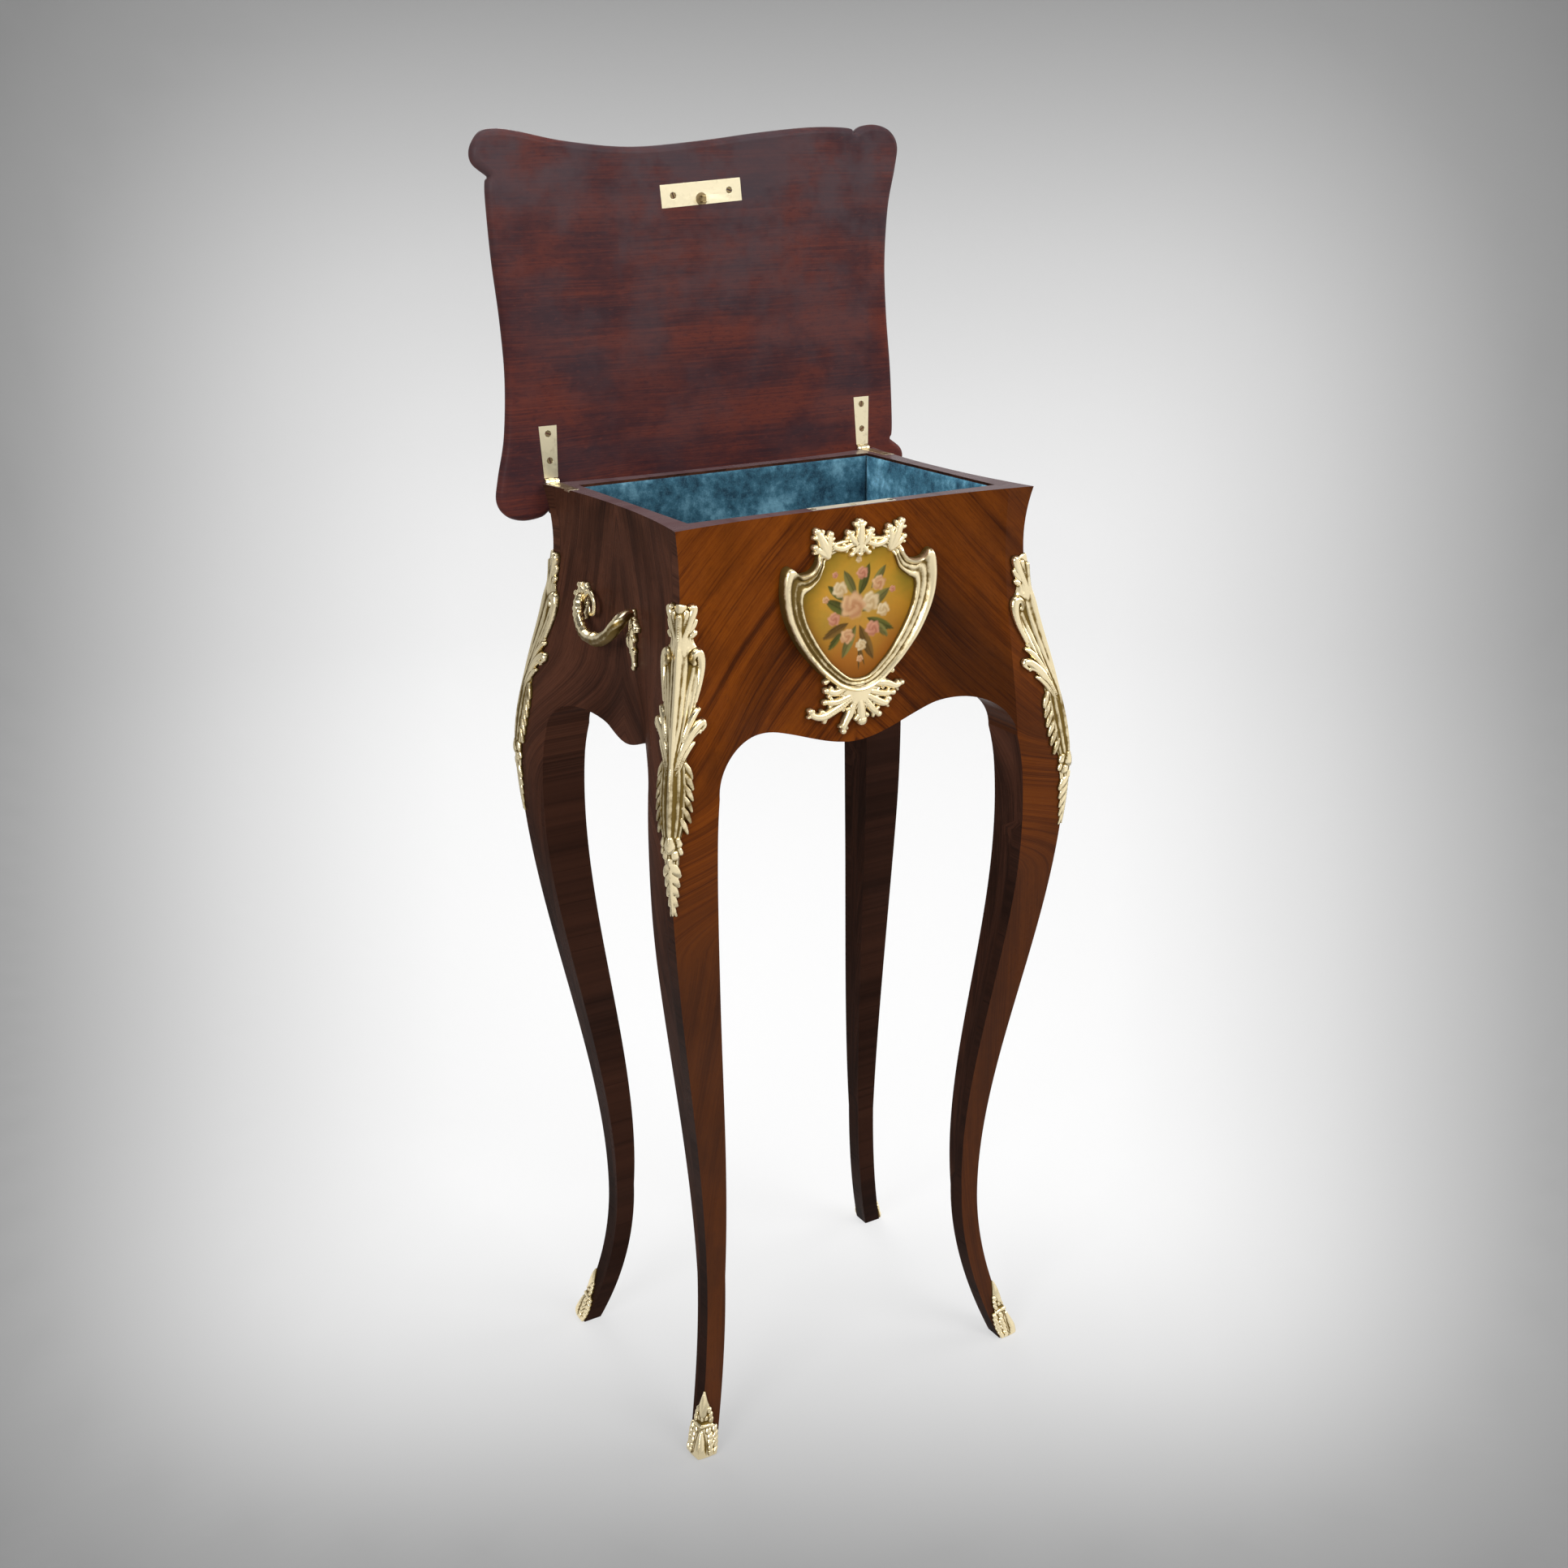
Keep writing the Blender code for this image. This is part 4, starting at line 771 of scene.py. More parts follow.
def figure_group():
    """Striped veneer: grain vector is across, along and seed, in metres."""
    n, i = new_group(
        "Veneer figure",
        [
            ("Grain", VECTOR, (0, 0, 0)), ("Light", COLOUR, WHITE), ("Middle", COLOUR, WHITE),
            ("Dark", COLOUR, BLACK), ("Stripe", NUMBER, 110.0), ("Stripe Depth", NUMBER, 1.0),
            ("Cloud", NUMBER, 0.4), ("Fleck", NUMBER, 0.2),
        ],
        [("Color", COLOUR), ("Roughness", NUMBER), ("Height", NUMBER)],
    )
    across, along, seed = n.node("SeparateXYZ", {0: i["Grain"]}).outputs

    def field(at, wide, long, shift, detail, rough):
        x, y = n.math("MULTIPLY", at, wide), n.math("MULTIPLY", along, long)
        return n.noise(n.vector(x, y, n.math("ADD", seed, shift)), 1.0, detail, rough)

    sway = field(across, 9.0, 7.0, 0.0, 2.0, 0.5)
    bent = n.math("MULTIPLY_ADD", n.math("SUBTRACT", sway, 0.5), 0.007, across)
    band = field(bent, i["Stripe"], 3.0, 0.0, 3.0, 0.55)
    streak = field(bent, 720.0, 14.0, 0.0, 3.0, 0.6)
    cloud = field(bent, 30.0, 17.0, 4.0, 4.0, 0.55)
    fleck = field(bent, 420.0, 130.0, 9.0, 4.0, 0.65)
    pore = n.span(field(bent, 2600.0, 150.0, 0.0, 1.0, 0.5), 0.60, 0.74)
    tone = n.math("ADD", n.math("MULTIPLY", band, 0.58), n.math("MULTIPLY", streak, 0.42))
    base = n.mix(n.span(tone, 0.36, 0.60), i["Light"], i["Middle"])
    for mark, low, high, much, tint in (
        (tone, 0.50, 0.64, i["Stripe Depth"], i["Dark"]), (cloud, 0.46, 0.30, i["Cloud"], i["Light"]),
        (cloud, 0.46, 0.68, i["Cloud"], i["Dark"]), (fleck, 0.50, 0.72, i["Fleck"], i["Dark"]),
        (fleck, 0.46, 0.28, i["Fleck"], i["Light"]),
    ):
        base = n.mix(n.math("MULTIPLY", n.span(mark, low, high), much), base, tint)
    base = n.mix(n.math("MULTIPLY", pore, 0.45), base, i["Dark"])
    rough = n.math("ADD", n.span(cloud, 0.3, 0.7, 0.26, 0.36), n.math("MULTIPLY", pore, 0.12))
    height = n.math("SUBTRACT", n.math("MULTIPLY", streak, 0.25), n.math("MULTIPLY", pore, 0.8))
    n.leave(Color=base, Roughness=rough, Height=height)
    return n.tree


def wear_group():
    """Dust and rubbed polish that break up a finish."""
    n, i = new_group(
        "Rubbed finish",
        [
            ("Color", COLOUR, WHITE), ("Dust", COLOUR, (0.3, 0.27, 0.25, 1)), ("Amount", NUMBER, 0.06),
            ("Roughness", NUMBER, 0.3),
        ],
        [("Color", COLOUR), ("Roughness", NUMBER)],
    )
    where = n.where()
    broad = n.noise(where, 11.0, 4.0, 0.6)
    fine = n.noise(where, 240.0, 2.0, 0.6)
    film = n.math("MULTIPLY", n.span(broad, 0.42, 0.70), i["Amount"])
    tint = n.mix(film, i["Color"], i["Dust"])
    rough = n.math("ADD", i["Roughness"], n.math("MULTIPLY", n.math("SUBTRACT", broad, 0.5), 0.16))
    rough = n.math("ADD", rough, n.math("MULTIPLY", n.math("SUBTRACT", fine, 0.5), 0.08))
    n.leave(Color=tint, Roughness=rough)
    return n.tree


def patina_group():
    """Metal with tarnish in its hollows and bright rubbed high places."""
    n, i = new_group(
        "Metal patina",
        [
            ("Hollow", NUMBER, 0.0), ("Bright", COLOUR, WHITE), ("Tarnish", COLOUR, BLACK),
            ("Roughness", NUMBER, 0.3), ("Grain", NUMBER, 700.0),
        ],
        [("Color", COLOUR), ("Roughness", NUMBER), ("Height", NUMBER)],
    )
    where = n.where()
    cloud = n.noise(where, 130.0, 4.0, 0.62)
    grain = n.noise(where, i["Grain"])
    dirt = n.math("ADD", i["Hollow"], n.math("MULTIPLY", n.math("SUBTRACT", cloud, 0.5), 1.1))
    dirt = n.span(dirt, 0.28, 0.80)
    tint = n.mix(dirt, i["Bright"], i["Tarnish"])
    rough = n.math("ADD", i["Roughness"], n.math("MULTIPLY", dirt, 0.24))
    rough = n.math("ADD", rough, n.math("MULTIPLY", n.math("SUBTRACT", grain, 0.5), 0.16))
    n.leave(Color=tint, Roughness=rough, Height=n.math("MULTIPLY_ADD", cloud, 2.0, grain))
    return n.tree


def pile_group():
    """Velvet brushed this way and that, brightened by painted light where the piece asks."""
    n, i = new_group(
        "Velvet pile",
        [("Pile", COLOUR, WHITE), ("Deep", COLOUR, BLACK), ("Bloom", COLOUR, WHITE)],
        [("Color", COLOUR), ("Height", NUMBER)],
    )
    where = n.where()
    brush = n.noise(where, 22.0, 3.0, 0.6)
    crush = n.noise(where, 150.0, 5.0, 0.68)
    hair = n.noise(where, 900.0, 2.0, 0.6)
    tone = n.math("ADD", n.math("MULTIPLY", brush, 0.60), n.math("MULTIPLY", crush, 0.40))
    base = n.mix(n.span(tone, 0.38, 0.55), i["Deep"], i["Pile"])
    base = n.mix(n.math("MULTIPLY", n.span(tone, 0.50, 0.68), 0.75), base, i["Bloom"])
    base = n.mix(n.math("MULTIPLY", n.span(hair, 0.45, 0.75), 0.14), base, i["Bloom"])
    # Painted light: the piece's shade value scales the colour up
    lift = n.math("ADD", n.attribute("shade", "Fac"), 1.0)
    base = n.node("VectorMath", {0: base, "Scale": lift}, operation="SCALE").outputs[0]
    n.leave(Color=base, Height=n.math("ADD", hair, n.math("MULTIPLY", crush, 1.5)))
    return n.tree


# Materials


def blank(name):
    """A new material, its nodes and its shader."""
    material = bpy.data.materials.new(name)
    material.use_nodes = True
    nodes = Nodes(material.node_tree)
    return material, nodes, material.node_tree.nodes["Principled BSDF"]


def use(nodes, group, links):
    """Places a shared node group, feeds its inputs and gives its outputs."""
    made = nodes.node("Group", node_tree=FINISH[group])
    for key, value in links.items():
        nodes.put(made.inputs[key], value)
    return made.outputs


def fit(nodes, shader, values):
    """Feeds or sets the shader's inputs."""
    for key, value in values.items():
        nodes.put(shader.inputs[key], value)


def bump(nodes, shader, height, distance, strength=0.5):
    """Feeds a height into the shader's normal."""
    made = nodes.node("Bump", {"Height": height, "Distance": distance, "Strength": strength})
    fit(nodes, shader, {"Normal": made.outputs[0]})


def dark_band(nodes, grain):
    """Share of a dark stripe along the grain: it deepens up to a sharp line and fades above it."""
    split = nodes.node("SeparateXYZ", {0: grain}).outputs
    off = nodes.math("SUBTRACT", split["X"], BAND_AT)
    rise = nodes.span(off, -BAND_RISE, 0.0, 0.0, 0.30)
    edge = nodes.span(off, -BAND_EDGE, BAND_EDGE, 0.0, 0.45)
    much = nodes.math("MULTIPLY", nodes.math("ADD", rise, edge), nodes.span(off, *BAND_FADE, 1.0, 0.0))
    return nodes.math("MULTIPLY", much, nodes.span(split["Z"], LEFT_SEED, RIGHT_SEED, 0.75, 1.0))


def wood_finish(
    name, light, middle, dark, stripe, depth, cloud,
    shade=None, coat=0.03, dust=0.008, fleck=0.2, patch=0.0, gloss=0.06, band=False,
):
    """Polished veneer that reads its grain, and how shaded it is, from the piece."""
    material, nodes, shader = blank(name)
    grain = nodes.attribute("grain", "Vector")
    figure = use(nodes, "figure", {
        "Grain": grain, "Light": light, "Middle": middle, "Dark": dark,
        "Stripe": stripe, "Stripe Depth": depth, "Cloud": cloud, "Fleck": fleck,
    })
    base = figure["Color"]
    if band:
        base = nodes.mix(dark_band(nodes, grain), base, dark)
    if shade:
        much = nodes.attribute("shade", "Fac")
        if patch:
            spot = nodes.noise(nodes.where(), patch, 4.0, 0.62)
            much = nodes.math("MULTIPLY", much, nodes.span(spot, 0.38, 0.62, 0.35, 1.20))
        base = nodes.mix(much, base, shade)
        base = nodes.mix(0.30, base, figure["Color"])
    worn = use(nodes, "rubbed", {"Color": base, "Amount": dust, "Roughness": figure["Roughness"]})
    fit(nodes, shader, {
        "Base Color": worn["Color"], "Roughness": worn["Roughness"], "Coat Weight": coat,
        "Coat Roughness": 0.16, "Specular IOR Level": gloss, "IOR": 1.25,
    })
    bump(nodes, shader, figure["Height"], 0.00012, 0.30)
    return material


def metal_finish(name, bright, tarnish, roughness, grain=420.0, metallic=1.0, painted_shade_at=None):
    """Metal that reads its hollows from the piece. Painted shade darkens the metal round one place."""
    material, nodes, shader = blank(name)
    hollow = nodes.attribute("hollow", "Fac")
    if painted_shade_at:
        off = nodes.node("VectorMath", {0: nodes.where(), 1: painted_shade_at}, operation="DISTANCE").outputs["Value"]
        hollow = nodes.math("MAXIMUM", hollow, nodes.span(off, 0.0060, 0.0042))
    metal = use(nodes, "patina", {
        "Hollow": hollow, "Bright": bright, "Tarnish": tarnish, "Roughness": roughness, "Grain": grain,
    })
    fit(nodes, shader, {
        "Base Color": metal["Color"], "Roughness": metal["Roughness"], "Metallic": metallic,
    })
    bump(nodes, shader, metal["Height"], 0.00008)
    return material


def velvet_finish(settings):
    """Brushed velvet with a soft sheen."""
    material, nodes, shader = blank("teal velvet")
    colours = {"Pile": settings.pile, "Deep": settings.deep, "Bloom": settings.bloom}
    pile = use(nodes, "pile", colours)
    fit(nodes, shader, {
        "Base Color": pile["Color"], "Roughness": 0.9, "Sheen Weight": 0.6, "Sheen Roughness": 0.35,
        "Sheen Tint": (0.45, 0.75, 0.90), "Specular IOR Level": 0.15,
    })
    bump(nodes, shader, pile["Height"], 0.0006, 0.6)
    return material


def plaque_finish():
    """Painted and glazed plaque that reads its colours from the piece."""
    material, nodes, shader = blank("painted plaque")
    paint = nodes.attribute("paint", "Color")
    stroke = nodes.noise(nodes.where(), 420.0, 3.0, 0.6)
    tint = nodes.mix(nodes.span(stroke, 0.35, 0.75, 0.0, 0.10), paint, (0.30, 0.14, 0.03))
    fit(nodes, shader, {
        "Base Color": tint, "Roughness": nodes.span(stroke, 0.3, 0.7, 0.28, 0.42),
        "Specular IOR Level": 0.1, "Coat Weight": 0.03, "Coat Roughness": 0.10,
    })
    bump(nodes, shader, stroke, 0.00010, 0.3)
    return material


def make_finishes(scene):
    """The shared node groups, and each finish once."""
    wood, gilt = scene.table_wood, scene.table_gilt
    FINISH["figure"] = figure_group()
    FINISH["rubbed"] = wear_group()
    FINISH["patina"] = patina_group()
    FINISH["pile"] = pile_group()
    front = wood.front_light, wood.front_mid, wood.front_dark
    side = wood.side_light, wood.side_mid, wood.side_dark
    lid = wood.lid_light, wood.lid_mid, wood.lid_dark
    rim = wood.rim, wood.rim, wood.lid_mid
    carcase = wood.carcase, wood.carcase, wood.side_light
    FINISH["front"] = wood_finish(
        "front veneer", *front, 90.0, 0.75, 0.30, shade=wood.front_shade, band=True
    )
    FINISH["leg"] = wood_finish(
        "leg veneer", *front, 90.0, 0.60, 0.40, shade=wood.leg_shade, band=True
    )
    # Painted shade: faces that look sideways take this darker copy of the veneer
    FINISH["side"] = wood_finish(
        "side veneer with painted shade", *side, 60.0, 0.32, 0.40, shade=wood.side_dark, coat=0.01, gloss=0.02
    )
    FINISH["lid"] = wood_finish(
        "lid mahogany", *lid, 34.0, 0.30, 0.62, shade=wood.lid_haze_and_sheen, coat=0.02, fleck=0.5, patch=16.0
    )
    FINISH["rim"] = wood_finish("rim banding with painted sheen", *rim, 80.0, 0.3, 0.3, coat=0.5)
    FINISH["carcase"] = wood_finish("plain carcase wood", *carcase, 60.0, 0.3, 0.3, coat=0.0, dust=0.3)
    cast = gilt.gilt, gilt.gilt_dark
    brass = gilt.brass, gilt.brass_dark
    FINISH["gilt"] = metal_finish("gilt bronze", *cast, 0.23, grain=700.0)
    FINISH["satin"] = metal_finish("satin gilding", *cast, 0.32, grain=700.0, metallic=0.88)
    FINISH["brass"] = metal_finish("old brass", *brass, 0.33)
    # Painted shade round the keep's staple
    FINISH["keep"] = metal_finish("keep brass", *brass, 0.33, painted_shade_at=KEEP_STAPLE)
    FINISH["screw"] = metal_finish("darkened brass", gilt.screw, gilt.brass_dark, 0.38)
    FINISH["plate"] = metal_finish("worn lock brass with painted sheen", gilt.plate, gilt.brass_dark, 0.45, metallic=0.5)
    FINISH["steel"] = metal_finish("dull steel", gilt.steel, gilt.steel_dark, 0.42, grain=500.0)
    FINISH["velvet"] = velvet_finish(scene.table_velvet)
    FINISH["plaque"] = plaque_finish()


# Case, lid and linings


def leg_rows():
    """Heights of the leg's sections."""
    meet = RIM_H - MEET_DOWN
    foot = np.linspace(0.0, ANKLE_UP, 21)[:-1]
    shank = np.linspace(ANKLE_UP, meet, 53)[:-1]
    top = np.linspace(meet, RIM_H, 33)
    return np.concatenate([foot, shank, top])


def leg_loop(z):
    """The leg's section at a height: front face, outer corner, side face and the two inner faces."""
    out, side = float(corner_out(z)), float(leg_side(z))
    x0, y0 = RIM_W / 2 + out, RIM_D / 2 + out
    x1, y1 = x0 - side, y0 - side
    d = LEG_SHARES * side
    front = np.stack([x0 - d, RIM_D / 2 + face_out(RIM_W / 2, x0 - d, z)], axis=-1)
    flank = np.stack([RIM_W / 2 + face_out(RIM_D / 2, y0 - d, z), y0 - d], axis=-1)
    deep = front[-1, 1] + (y1 - front[-1, 1]) * np.array([0.3, 0.7, 1.0])
    wide = x1 + (flank[-1, 0] - x1) * np.array([0.3, 0.7])
    inner_front = np.stack([np.full(3, x1), deep], axis=-1)
    inner_side = np.stack([wide, np.full(2, y1)], axis=-1)
    return np.concatenate([front[::-1], flank[1:], inner_side[::-1], inner_front[::-1]])


def veneer_grain(points, facing):
    """Across, along and seed of the veneer for points on a face looking along an axis."""
    x, y, z = points[:, 0], points[:, 1], points[:, 2]
    run = np.abs(x) if facing == "front" else np.abs(y)
    lean = ease((z - 0.44) / 0.12) if facing == "front" else 0.25 * ease((z - 0.50) / 0.12)
    across = lean * (z + run) / math.sqrt(2.0) + (1.0 - lean) * (run + 0.10 * z)
    along = lean * (z - run) / math.sqrt(2.0) + (1.0 - lean) * z
    seed = np.where(x < 0.0, LEFT_SEED, RIGHT_SEED) + (0.0 if facing == "front" else 3.0)
    return np.stack([across, along, seed], axis=-1)


def mark_soft_edges(mesh):
    """Marks the leg's sharp edges for softening, apart from the joints with the panels."""
    weights = mesh.attributes.new("bevel_weight_edge", "FLOAT", "EDGE")
    meet = RIM_H - MEET_DOWN
    normals = {}
    for face in mesh.polygons:
        for key in face.edge_keys:
            normals.setdefault(key, []).append(face.normal)
    for e in mesh.edges:
        a, b = (mesh.vertices[v].co for v in e.vertices)
        pair = normals[tuple(sorted(e.vertices))]
        sharp = len(pair) == 2 and pair[0].dot(pair[1]) < 0.8
        away = abs(abs(a.x) - POST_X) > 0.0005 and abs(abs(a.y) - POST_Y) > 0.0005
        if sharp and (away or max(a.z, b.z) < meet):
            weights.data[e.index].value = 1.0


def make_leg(corner, edge):
    """One cabriole leg, which is also a corner of the case."""
    sx, sy = CORNERS[corner]
    rows = []
    for z in leg_rows():
        loop = leg_loop(z)
        rows.append(np.column_stack([sx * loop[:, 0], sy * loop[:, 1], np.full(len(loop), z)]))
    points, faces = loft(rows)
    obj = piece("leg_%s_veneer" % corner, points, faces, "case", ["leg_" + corner])
    for finish in ("leg", "side", "rim"):
        obj.data.materials.append(FINISH[finish])
    # Forward faces of the front legs take the front veneer; the other faces take the side veneer with its
    # painted shade
    for face in obj.data.polygons:
        if face.normal.z > 0.9:
            face.material_index = 2
        else:
            face.material_index = 0 if sy < 0 and face.normal.y < -0.6 else 1
    p = points_of(obj)
    facing = np.abs(p[:, 1]) > RIM_D / 2 + corner_out(p[:, 2]) - 0.012
    grain = np.where(facing[:, None], veneer_grain(p, "front"), veneer_grain(p, "side"))
    note(obj, "grain", "FLOAT_VECTOR", grain)
    shade = 1.0 - ease((p[:, 2] - LEG_SHADE_UP) / LEG_SHADE_RUN)
    front_least = RIGHT_POST_SHADE if sx > 0 else 0.0
    side_share = FRONT_LEG_SHADE if sy < 0 else BACK_LEG_SHADE
    note(obj, "shade", "FLOAT", np.where(facing, np.maximum(shade, front_least), side_share * shade))
    mark_soft_edges(obj.data)
    soften(obj, edge * 2.0, 3).modifiers["edge"].limit_method = "WEIGHT"
    return obj


# Each panel: half the rim, half the gap between posts, apron, place of along, out and up
PANEL_PLACES = {
    "front": (RIM_W / 2, POST_X, LONG_APRON, lambda a, o, z: (a, -RIM_D / 2 - o, z)),
    "back": (RIM_W / 2, POST_X, LONG_APRON, lambda a, o, z: (-a, RIM_D / 2 + o, z)),
    "left": (RIM_D / 2, POST_Y, SHORT_APRON, lambda a, o, z: (-RIM_W / 2 - o, -a, z)),
    "right": (RIM_D / 2, POST_Y, SHORT_APRON, lambda a, o, z: (RIM_W / 2 + o, a, z)),
}


def front_shade(points):
    """Share of darker colour on a panel: none on the left, and on the right most in a slanting band."""
    up = points[:, 2] - RIM_H + np.abs(points[:, 0])
    band = ease((0.03 - up) / 0.04) * (0.5 + 0.5 * ease((up + 0.075) / 0.02))
    return ease((points[:, 0] - 0.01) / 0.07) * (0.40 + 0.55 * band)


def make_panel(side):
    """One side of the case with its shaped apron. The front is hollowed to house the lock."""
    rim_half, post, apron, place = PANEL_PLACES[side]
    arch = post - apron[2]
    round_in = arch + apron[2] * np.sin(math.pi / 2 * np.arange(1, 17) / 16)
    half = np.concatenate([np.linspace(0.0, arch, 25), round_in]) * (1.0 - SEAM / post)
    if side == "front":
        half = np.sort(np.append(half, (LOCK_HALF, LOCK_HALF + 0.0001)))
    along = np.concatenate([-half[:0:-1], half])
    low = apron_low(along, post, apron)
    z = low[:, None] + (RIM_H - low)[:, None] * np.linspace(0.0, 1.0, 45)[None, :]
    a = along[:, None] + 0.0 * z
    outer = np.stack(place(a, face_out(rim_half, a, z), z), axis=-1)
    housed = (side == "front") & (np.abs(a) <= LOCK_HALF) & (z > RIM_H - LOCK_DOWN)
    inner = np.stack(place(a, np.where(housed, LOCK_DEEP - WALL, -WALL), z), axis=-1)
    points, faces = shell(outer, inner)
    obj = piece(side + "_panel_veneer", points, faces, "case", [side + "_panel"])
    p = points_of(obj)
    facing = "front" if side in ("front", "back") else "side"
    note(obj, "grain", "FLOAT_VECTOR", veneer_grain(p, facing))
    note(obj, "shade", "FLOAT", front_shade(p))
    for finish in ("front" if side == "front" else "side", "rim"):
        obj.data.materials.append(FINISH[finish])
    for face in obj.data.polygons:
        face.material_index = 1 if face.normal.z > 0.9 else 0
    return obj


def inset_loop(outline, inward, inset):
    """The lid's outline drawn in, with the folds that arise at its notches cut out."""
    loop = outline + inward * inset
    count = len(loop)
    for i in range(count):
        for k in range(14, 1, -1):
            a, b = loop[i], loop[(i + 1) % count]
            c, d = loop[(i + k) % count], loop[(i + k + 1) % count]
            meet = geometry.intersect_line_line_2d(a, b, c, d)
            if meet is None:
                continue
            path = np.array([a, meet, d])
            runs = np.concatenate([[0.0], np.cumsum(np.linalg.norm(np.diff(path, axis=0), axis=1))])
            for m in range(1, k + 1):
                at = runs[-1] * m / (k + 1)
                loop[(i + m) % count] = [np.interp(at, runs, path[:, axis]) for axis in (0, 1)]
            break
    return loop


def make_lid():
    """The lid: a board with a moulded edge and an ear at each corner, shown open."""
    runs = np.concatenate([spline(LID_EAR_FRONT, 8)[:-1], spline(LID_EAR_SIDE, 8)[:-1]])
    half = runs * np.array((LID_W / 2, LID_D / 2))
    outline = np.concatenate([half, -half])
    inward = -outward(outline)
    c, s = math.cos(-LID_OPEN), math.sin(-LID_OPEN)
    rows = []
    for inset, up in LID_EDGE:
        plan = inset_loop(outline, inward, inset)
        back = plan[:, 1] - LID_FORWARD - HINGE_Y
        high = LID_UNDER - RIM_H + up
        y = HINGE_Y + back * c - high * s
        z = RIM_H + back * s + high * c
        rows.append(np.column_stack([plan[:, 0], y, z]))
    points, faces = loft(rows)
    obj = piece("lid_panel_board", points, faces, "lid", ["lid_panel"], 30.0)
    for face in obj.data.polygons:
        face.use_smooth = len(face.vertices) < 5
    obj.data.materials.append(FINISH["lid"])
    p = points_of(obj)
    note(obj, "grain", "FLOAT_VECTOR", np.column_stack([p[:, 2], p[:, 0], np.full(len(p), LID_SEED)]))
    # Greyer towards the lid's front edge, highest when open: greyed polish with painted sheen
    note(obj, "shade", "FLOAT", 0.12 + 0.85 * ease((p[:, 2] - RIM_H - 0.08) / 0.17))
    return obj


def make_lining(name, wide, high, place, painted_light=(0.0, 0.0)):
    """A velvet sheet glued to one face of the well, with a little give in it, and painted light that
    brightens it.
    """
    u = np.linspace(-wide / 2, wide / 2, 91)[:, None]
    v = np.linspace(0.0, high, 61)[None, :]
    soft = 0.00022 * np.sin(u * 71.0 + 2.0 * np.sin(v * 43.0)) * np.sin(v * 57.0 + 1.0)
    soft = soft + 0.00012 * np.sin(u * 163.0 + v * 121.0)
    roll = ease((high - v) / 0.004) * ease(v / 0.0006) * ease((wide / 2 - np.abs(u)) / 0.0006)
    front = (0.0012 + soft) * roll + 0.0003
    outer = np.stack(place(u + 0.0 * v, v + 0.0 * u, front), axis=-1)
    inner = np.stack(place(u + 0.0 * v, v + 0.0 * u, 0.0 * front), axis=-1)
    points, faces = shell(outer, inner)
    obj = piece(name + "_velvet", points, faces, "case", [name], 80.0)
    obj.data.materials.append(FINISH["velvet"])
    # Painted light: how much brighter the velvet is, growing from left to right
    reach = points_of(obj)[:, 0] / RIM_W + 0.5
    note(obj, "shade", "FLOAT", painted_light[0] + (painted_light[1] - painted_light[0]) * np.clip(reach, 0.0, 1.0))
    return obj


# Corner and foot mounts


def band_of(table, d):
    """Half width and relief of a mount at distances along it."""
    fine = spline(table, 10)
    return np.interp(d, fine[:, 0], fine[:, 1]), np.interp(d, fine[:, 0], fine[:, 2])


def chute_relief():
    """The corner mount's relief: crown, scrolls, fanned and curled leaf, serrated leaf, bud and husk."""
    u = np.arange(-52, 53) * CHUTE_CELL
    v = np.arange(-2, 430) * CHUTE_CELL
    lobes = list(CHUTE_LOBES + CHUTE_CROWN)
    for k in range(6):
        top = 111.0 + 7.4 * k
        wide = 1000.0 * float(band_of(CHUTE, 0.001 * top + 0.002)[0])
        lobes.append(((wide * 0.74, top - 5.0, 2.8, 1.5), (wide * 0.98, top - 0.5, 3.2, 2.1),
                      (wide * 1.14, top + 3.0, 2.8, 1.7), (wide * 1.24, top + 5.6, 2.4, 1.2)))
    for k in range(5):
        top, size = 174.0 + 7.6 * k, 1.0 - 0.15 * k
        lobes.append(((0.6, top, 2.8 * size, 1.5 * size), (3.6 * size, top + 5.0, 3.0 * size, 2.7 * size),
                      (5.8 * size, top + 9.5, 2.4 * size, 1.9 * size)))
    rise, inside = lobe_field(u, v, lobes)
    a, d = np.abs(u[:, None]), v[None, :]
    half, relief = band_of(CHUTE, d)
    within = np.where((d < CHUTE[0, 0]) | (d > CHUTE[-1, 0]), OUTSIDE, half - a)
    side = a / half
    dome = np.power(np.clip(1.0 - side ** 4.0, 0.0, 1.0), 0.4)
    spine = np.exp(-(a / 0.0016) ** 2)
    body = window(d, 0.020, 0.034, 0.094, 0.108)
    fan = np.cos(2 * math.pi * a / np.maximum(0.118 - d, 0.004) / 0.075)
    dish = np.exp(-((side - 0.45) / 0.24) ** 2) * window(d, 0.030, 0.036, 0.050, 0.082)
    flute = 0.66 + 0.32 * spine + 0.08 * fan * (1.0 - spine) - 0.34 * dish
    veins = np.cos(2 * math.pi * 2.75 * side)
    leaf = 0.74 + 0.26 * spine + 0.15 * veins * (1.0 - spine)
    plate = relief * dome * (flute * body + leaf * (1.0 - body))
    rise = np.maximum(rise, np.where(within > 0.0, plate, 0.0))
    inside = np.maximum(inside, within)
    places, heights, hollows, faces = cut_relief(u, v, rise, inside)
    across, down = np.abs(places[:, 0]), places[:, 1]
    beside = np.exp(-((across - 0.0085) / 0.0040) ** 2)
    # Painted shade with tarnish on the lower part, which faces down; tarnish beside the shoulder scrolls and
    # at the middle of the crown
    tarnish_and_shade = 0.50 * ease((down - 0.084) / 0.030) * (1.0 - ease((down - 0.150) / 0.020))
    tarnish_and_shade = tarnish_and_shade + 0.65 * beside * window(down, 0.030, 0.036, 0.046, 0.062)
    tarnish_and_shade = tarnish_and_shade + 0.50 * window(down, 0.004, 0.008, 0.016, 0.024) * np.exp(-(across / 0.0055) ** 2)
    return places, heights, np.clip(hollows + tarnish_and_shade, 0.0, 1.0), faces


